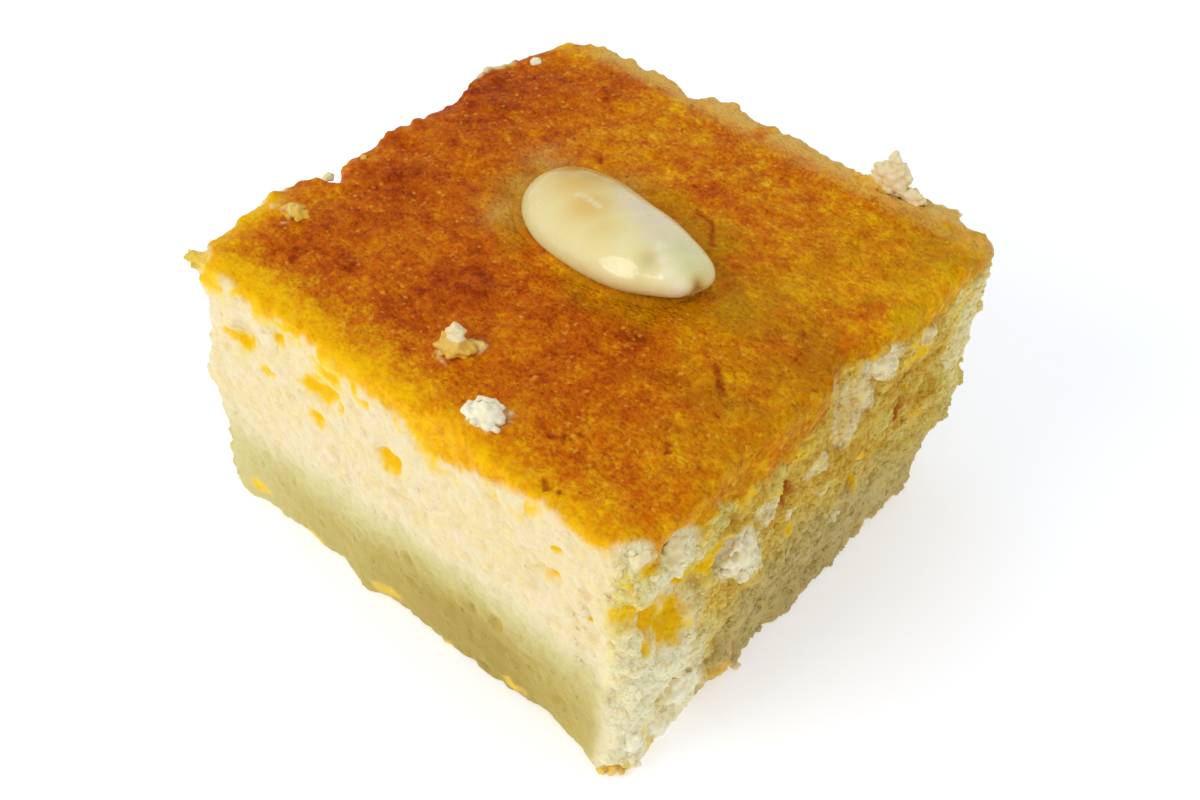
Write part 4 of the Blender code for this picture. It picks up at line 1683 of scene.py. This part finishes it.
@dataclass
class Almond:
    """The whole blanched almond, lying in the crust."""

    finish: AlmondFinish = AlmondFinish()
    length: float = 23.9
    width: float = 10.8
    thickness: float = 6.2
    taper: float = 0.176
    fullness: float = 0.06
    roundness: float = 2.31
    bow: float = -1.28
    at: tuple[float, float] = (0.65, 2.06)
    stands: float = 3.75
    turn: float = -11.4
    lift: float = -8.2
    rings: int = 150
    spokes: int = 120
    flat_at: tuple[float, float, float] = (4.1, -4.1, 32.0)
    flat_facing: tuple[float, float, float] = (0.1, -0.73, 0.68)
    flat_reach: float = 3.0
    flat_depth: float = 0.13
    grit: Grit = Grit(23)

    def body(self) -> Skin:
        """Shape the almond.

        Returns:
            Its skin, in place, in triangles.
        """
        along = -np.cos(np.pi * np.arange(1, self.rings) / self.rings)[:, None]
        turn = 2 * np.pi * np.arange(self.spokes)[None] / self.spokes
        narrowed = 1 - self.taper * along + self.fullness * along**2
        half = np.sqrt(1 - np.abs(along) ** self.roundness) * narrowed
        across = self.bow * (1 - along**2) + half * (self.width / 2) * np.cos(turn)
        up = half * (self.thickness / 2) * np.sin(turn)
        length = self.length / 2
        rows = np.stack((along * length + 0 * turn, across, up), axis=2).reshape(-1, 3)
        points = np.vstack((rows, [(-length, 0, 0), (length, 0, 0)]))
        spoke = np.arange(self.spokes)
        beside = (spoke + 1) % self.spokes
        blunt, point = len(rows), len(rows) + 1
        last = (self.rings - 2) * self.spokes
        faces = [np.stack((np.full_like(spoke, blunt), beside, spoke), axis=1)]
        faces.append(np.stack((np.full_like(spoke, point), last + spoke, last + beside), axis=1))
        for ring in range(self.rings - 2):
            near, far = ring * self.spokes, (ring + 1) * self.spokes
            faces.append(np.stack((near + spoke, near + beside, far + beside), axis=1))
            faces.append(np.stack((near + spoke, far + beside, far + spoke), axis=1))
        place = Matrix.Translation((*self.at, HEIGHT + self.stands - self.thickness / 2))
        place = place @ Matrix.Rotation(math.radians(self.turn), 4, "Z")
        place = place @ Matrix.Rotation(math.radians(self.lift), 4, "Y")
        turned = points @ np.array(place.to_3x3()).T + np.array(place.translation)
        return Skin(turned, np.vstack(faces))

    def outline(self, height: float, count: int) -> Array:
        """Find where the almond's skin passes through a level.

        Args:
            height: the level, in millimetres.
            count: how many places are wanted.

        Returns:
            The places in order round the almond, evenly spread by angle.
        """
        skin = self.body()
        low, high = (skin.points[ends] for ends in skin.edges().T)
        crossing = (low[:, 2] < height) & (high[:, 2] >= height)
        low, high = low[crossing], high[crossing]
        share = ((height - low[:, 2]) / (high[:, 2] - low[:, 2]))[:, None]
        places = low + share * (high - low)
        middle = places.mean(axis=0)
        angle = np.arctan2(places[:, 1] - middle[1], places[:, 0] - middle[0])
        order = np.argsort(angle)
        angle, far = angle[order], np.linalg.norm((places - middle)[order, :2], axis=1)
        wanted = -np.pi + 2 * np.pi * np.arange(count) / count
        reach = np.interp(wanted, angle, far, period=2 * np.pi)
        return middle + np.stack((reach * np.cos(wanted), reach * np.sin(wanted), 0 * wanted), axis=1)

    def flattened(self, points: Array) -> Array:
        """Press the small flat that the almond has on its near flank.

        Args:
            points: places on its skin, in millimetres.

        Returns:
            The places, drawn onto the flat where it is.
        """
        facing = np.array(self.flat_facing) / np.linalg.norm(self.flat_facing)
        away = points - np.array(self.flat_at)
        near = np.linalg.norm(away, axis=1) < self.flat_reach
        high = away @ facing
        proud = np.maximum(high - high[near].max() + self.flat_depth, 0) * near
        return points - proud[:, None] * facing

    def build(self) -> bpy.types.Object:
        """Build the almond and dress it.

        Returns:
            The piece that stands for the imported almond.
        """
        skin = self.body()
        ridges = self.grit.rough(skin.points * np.array((0.25, 1.0, 1.0)), 1.4, 3, 5)
        out = 0.04 * ridges + 0.12 * self.grit.soft(skin.points, 4.5, 6)
        upper = rise(skin.points[:, 2], HEIGHT + 0.4, HEIGHT + 1.6)
        marks = {tone.value: np.zeros(len(skin.points)) for tone in Tone}
        for tone, spots in SPOTS.items():
            for spot in spots:
                away = np.linalg.norm(skin.points[:, :2] - (spot.across, spot.back), axis=1) / spot.reach
                share = np.exp(-(away**2)) * upper
                out += spot.height * share
                marks[tone.value] = np.maximum(marks[tone.value], spot.strength * share)
        # Painted shade on the almond's lower part, where it sits in the crust.
        marks["low"] = 0.8 * (1 - rise(skin.points[:, 2], HEIGHT - 0.2, HEIGHT + 1.9))
        skin = Skin(self.flattened(skin.points + skin.normals() * out[:, None]), skin.faces)
        mesh = skin.mesh("almond", MM)
        note(mesh, **marks)
        made = piece("almond_blanched", mesh, self.finish.make("blanched almond"))
        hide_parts("almond")
        return made


@dataclass
class CrustLip:
    """The sticky lip of crust that holds the almond in its seat."""

    almond: Almond
    block: CakeBlock
    spokes: int = 220
    around: int = 14
    reach: float = 0.36
    width: float = 0.72
    rise_up: float = 0.16
    dip: float = 0.4
    grit: Grit = Grit(41)

    def build(self) -> bpy.types.Object:
        """Build the line round the almond and dress it.

        Returns:
            The piece.
        """
        rim = self.almond.outline(HEIGHT + 0.05, self.spokes)
        following = np.roll(rim, -1, axis=0) - np.roll(rim, 1, axis=0)
        outward = np.stack((following[:, 1], -following[:, 0], 0 * following[:, 0]), axis=1)
        outward /= np.linalg.norm(outward, axis=1, keepdims=True)
        outward *= np.sign(((rim - rim.mean(axis=0)) * outward).sum(axis=1, keepdims=True))
        turn = 2 * np.pi * np.arange(self.around)[None, :, None] / self.around
        wave = 1 + 0.15 * self.grit.rough(rim, 3.0, 3, 3)[:, None, None]
        body = rim[:, None] + outward[:, None] * (self.reach + self.width * wave * np.cos(turn))
        outer = np.maximum(np.cos(turn), 0.0) ** 2
        lifted = self.rise_up * np.sin(turn) * (0.8 + 0.2 * wave) - self.dip * outer
        body = body + np.array((0, 0, 1.0)) * lifted
        index = np.arange(self.spokes)[:, None] * self.around + np.arange(self.around)[None]
        ahead = np.roll(index, -1, axis=0)
        corners = (index, ahead, np.roll(ahead, -1, axis=1), np.roll(index, -1, axis=1))
        faces = np.stack(corners, axis=2).reshape(-1, 4)
        skin = Skin(body.reshape(-1, 3), faces)
        bumps = self.grit.rough(skin.points, 0.9, 2, 7)
        skin = Skin(skin.points + skin.normals() * (0.07 * bumps)[:, None], faces)
        mesh = skin.mesh("crust lip", MM)
        block, points = self.block, skin.points
        crust = np.ones(len(points))
        note(mesh, crust=crust, toast=block.toast(points), olive=block.olive(points), haze=block.haze(points))
        return piece("crust_lip_round_almond", mesh, block.finish.make("crust lip"))


@dataclass
class Studio:
    """The floor, the lamps, the sky and the camera."""

    key_power: float = 0.5
    key_size: float = 0.18
    key_at: tuple[float, float, float] = (-0.115, -0.315, 0.275)
    key_aim: tuple[float, float, float] = (0.0, 0.0, 0.012)
    key_colour: tuple[float, float, float] = (1.0, 0.985, 0.965)
    sky: float = 0.74
    sky_colour: Colour = (0.95, 0.975, 1.0, 1.0)
    floor_reach: float = 1500.0
    floor_glow: float = 0.34
    floor_colours: tuple[Colour, Colour] = ((0.87, 0.885, 0.93, 1.0), (0.88, 0.895, 0.94, 1.0))
    focal_pixels: float = 1486.13
    image_width: int = 1200
    azimuth: float = 39.202
    elevation: float = 44.866
    roll: float = 2.767
    distance: float = 144.02
    aside: float = 0.2235
    above: float = -2.9748
    aim: tuple[float, float, float] = (0.75, -0.5, 14.9245)

    def floor(self) -> None:
        """Lay the pale floor."""
        board = Board("pale floor")
        board.finish(
            Base_Color=board.mix(board.noise(40.0, 3.0, 0.6, 0.0), *self.floor_colours),
            Roughness=0.9,
            Specular_IOR_Level=0.1,
            Emission_Color=(0.97, 0.98, 1, 1),
            Emission_Strength=self.floor_glow,
        )
        corners = np.array([(-1, -1, 0), (1, -1, 0), (1, 1, 0), (-1, 1, 0)], float) * self.floor_reach
        mesh = Skin(corners, np.array([(0, 1, 2, 3)])).mesh("floor", MM)
        mesh.materials.append(board.material)
        floor = bpy.data.objects.new("floor", mesh)
        bpy.context.scene.collection.objects.link(floor)
        floor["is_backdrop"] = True

    def lamps(self) -> None:
        """Hang the soft key lamp and set the sky."""
        lamp = bpy.data.lights.new("key", "AREA")
        lamp.energy = self.key_power
        lamp.shape = "SQUARE"
        lamp.size = self.key_size
        lamp.color = self.key_colour
        key = bpy.data.objects.new("key", lamp)
        key.location = self.key_at
        key.rotation_euler = (Vector(self.key_aim) - key.location).to_track_quat("-Z", "Y").to_euler()
        bpy.context.scene.collection.objects.link(key)
        world = bpy.data.worlds.new("studio")
        world.use_nodes = True
        sky = world.node_tree.nodes["Background"]
        sky.inputs["Color"].default_value = self.sky_colour
        sky.inputs["Strength"].default_value = self.sky
        bpy.context.scene.world = world
        bpy.context.scene.view_settings.view_transform = "Standard"

    def camera(self) -> None:
        """Stand the camera where the photograph was taken from."""
        az, el, roll = (math.radians(angle) for angle in (self.azimuth, self.elevation, self.roll))
        out = Vector((math.sin(az) * math.cos(el), -math.cos(az) * math.cos(el), math.sin(el)))
        level = Vector((0, 0, 1)).cross(out).normalized()
        upward = out.cross(level)
        right = math.cos(roll) * level + math.sin(roll) * upward
        up = math.cos(roll) * upward - math.sin(roll) * level
        at = Vector(self.aim) + out * self.distance + right * self.aside + up * self.above
        lens = bpy.data.cameras.new("camera")
        lens.sensor_width = 36.0
        lens.lens = self.focal_pixels * lens.sensor_width / self.image_width
        lens.clip_start = 0.001
        camera = bpy.data.objects.new("camera", lens)
        axes = Matrix((right, up, out)).transposed().to_4x4()
        camera.matrix_world = Matrix.Translation(at * MM) @ axes
        bpy.context.scene.collection.objects.link(camera)
        bpy.context.scene.camera = camera


def main() -> None:
    """Build each piece in turn and report it."""
    logging.basicConfig(level=logging.INFO, format="%(message)s")
    log = logging.getLogger("basbousa")
    studio = Studio()
    studio.camera()
    studio.floor()
    studio.lamps()
    almond = Almond()
    block = CakeBlock()
    for part in (block, SemolinaGrains(block), LooseCrumbs(), CrustLip(almond, block), almond):
        made = part.build()
        log.info("%s: %d points, %d faces", made.name, len(made.data.vertices), len(made.data.polygons))
    [[list(corner) for corner in box] for box in (CAD_BOX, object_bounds())]


if __name__ == "__main__":
    main()
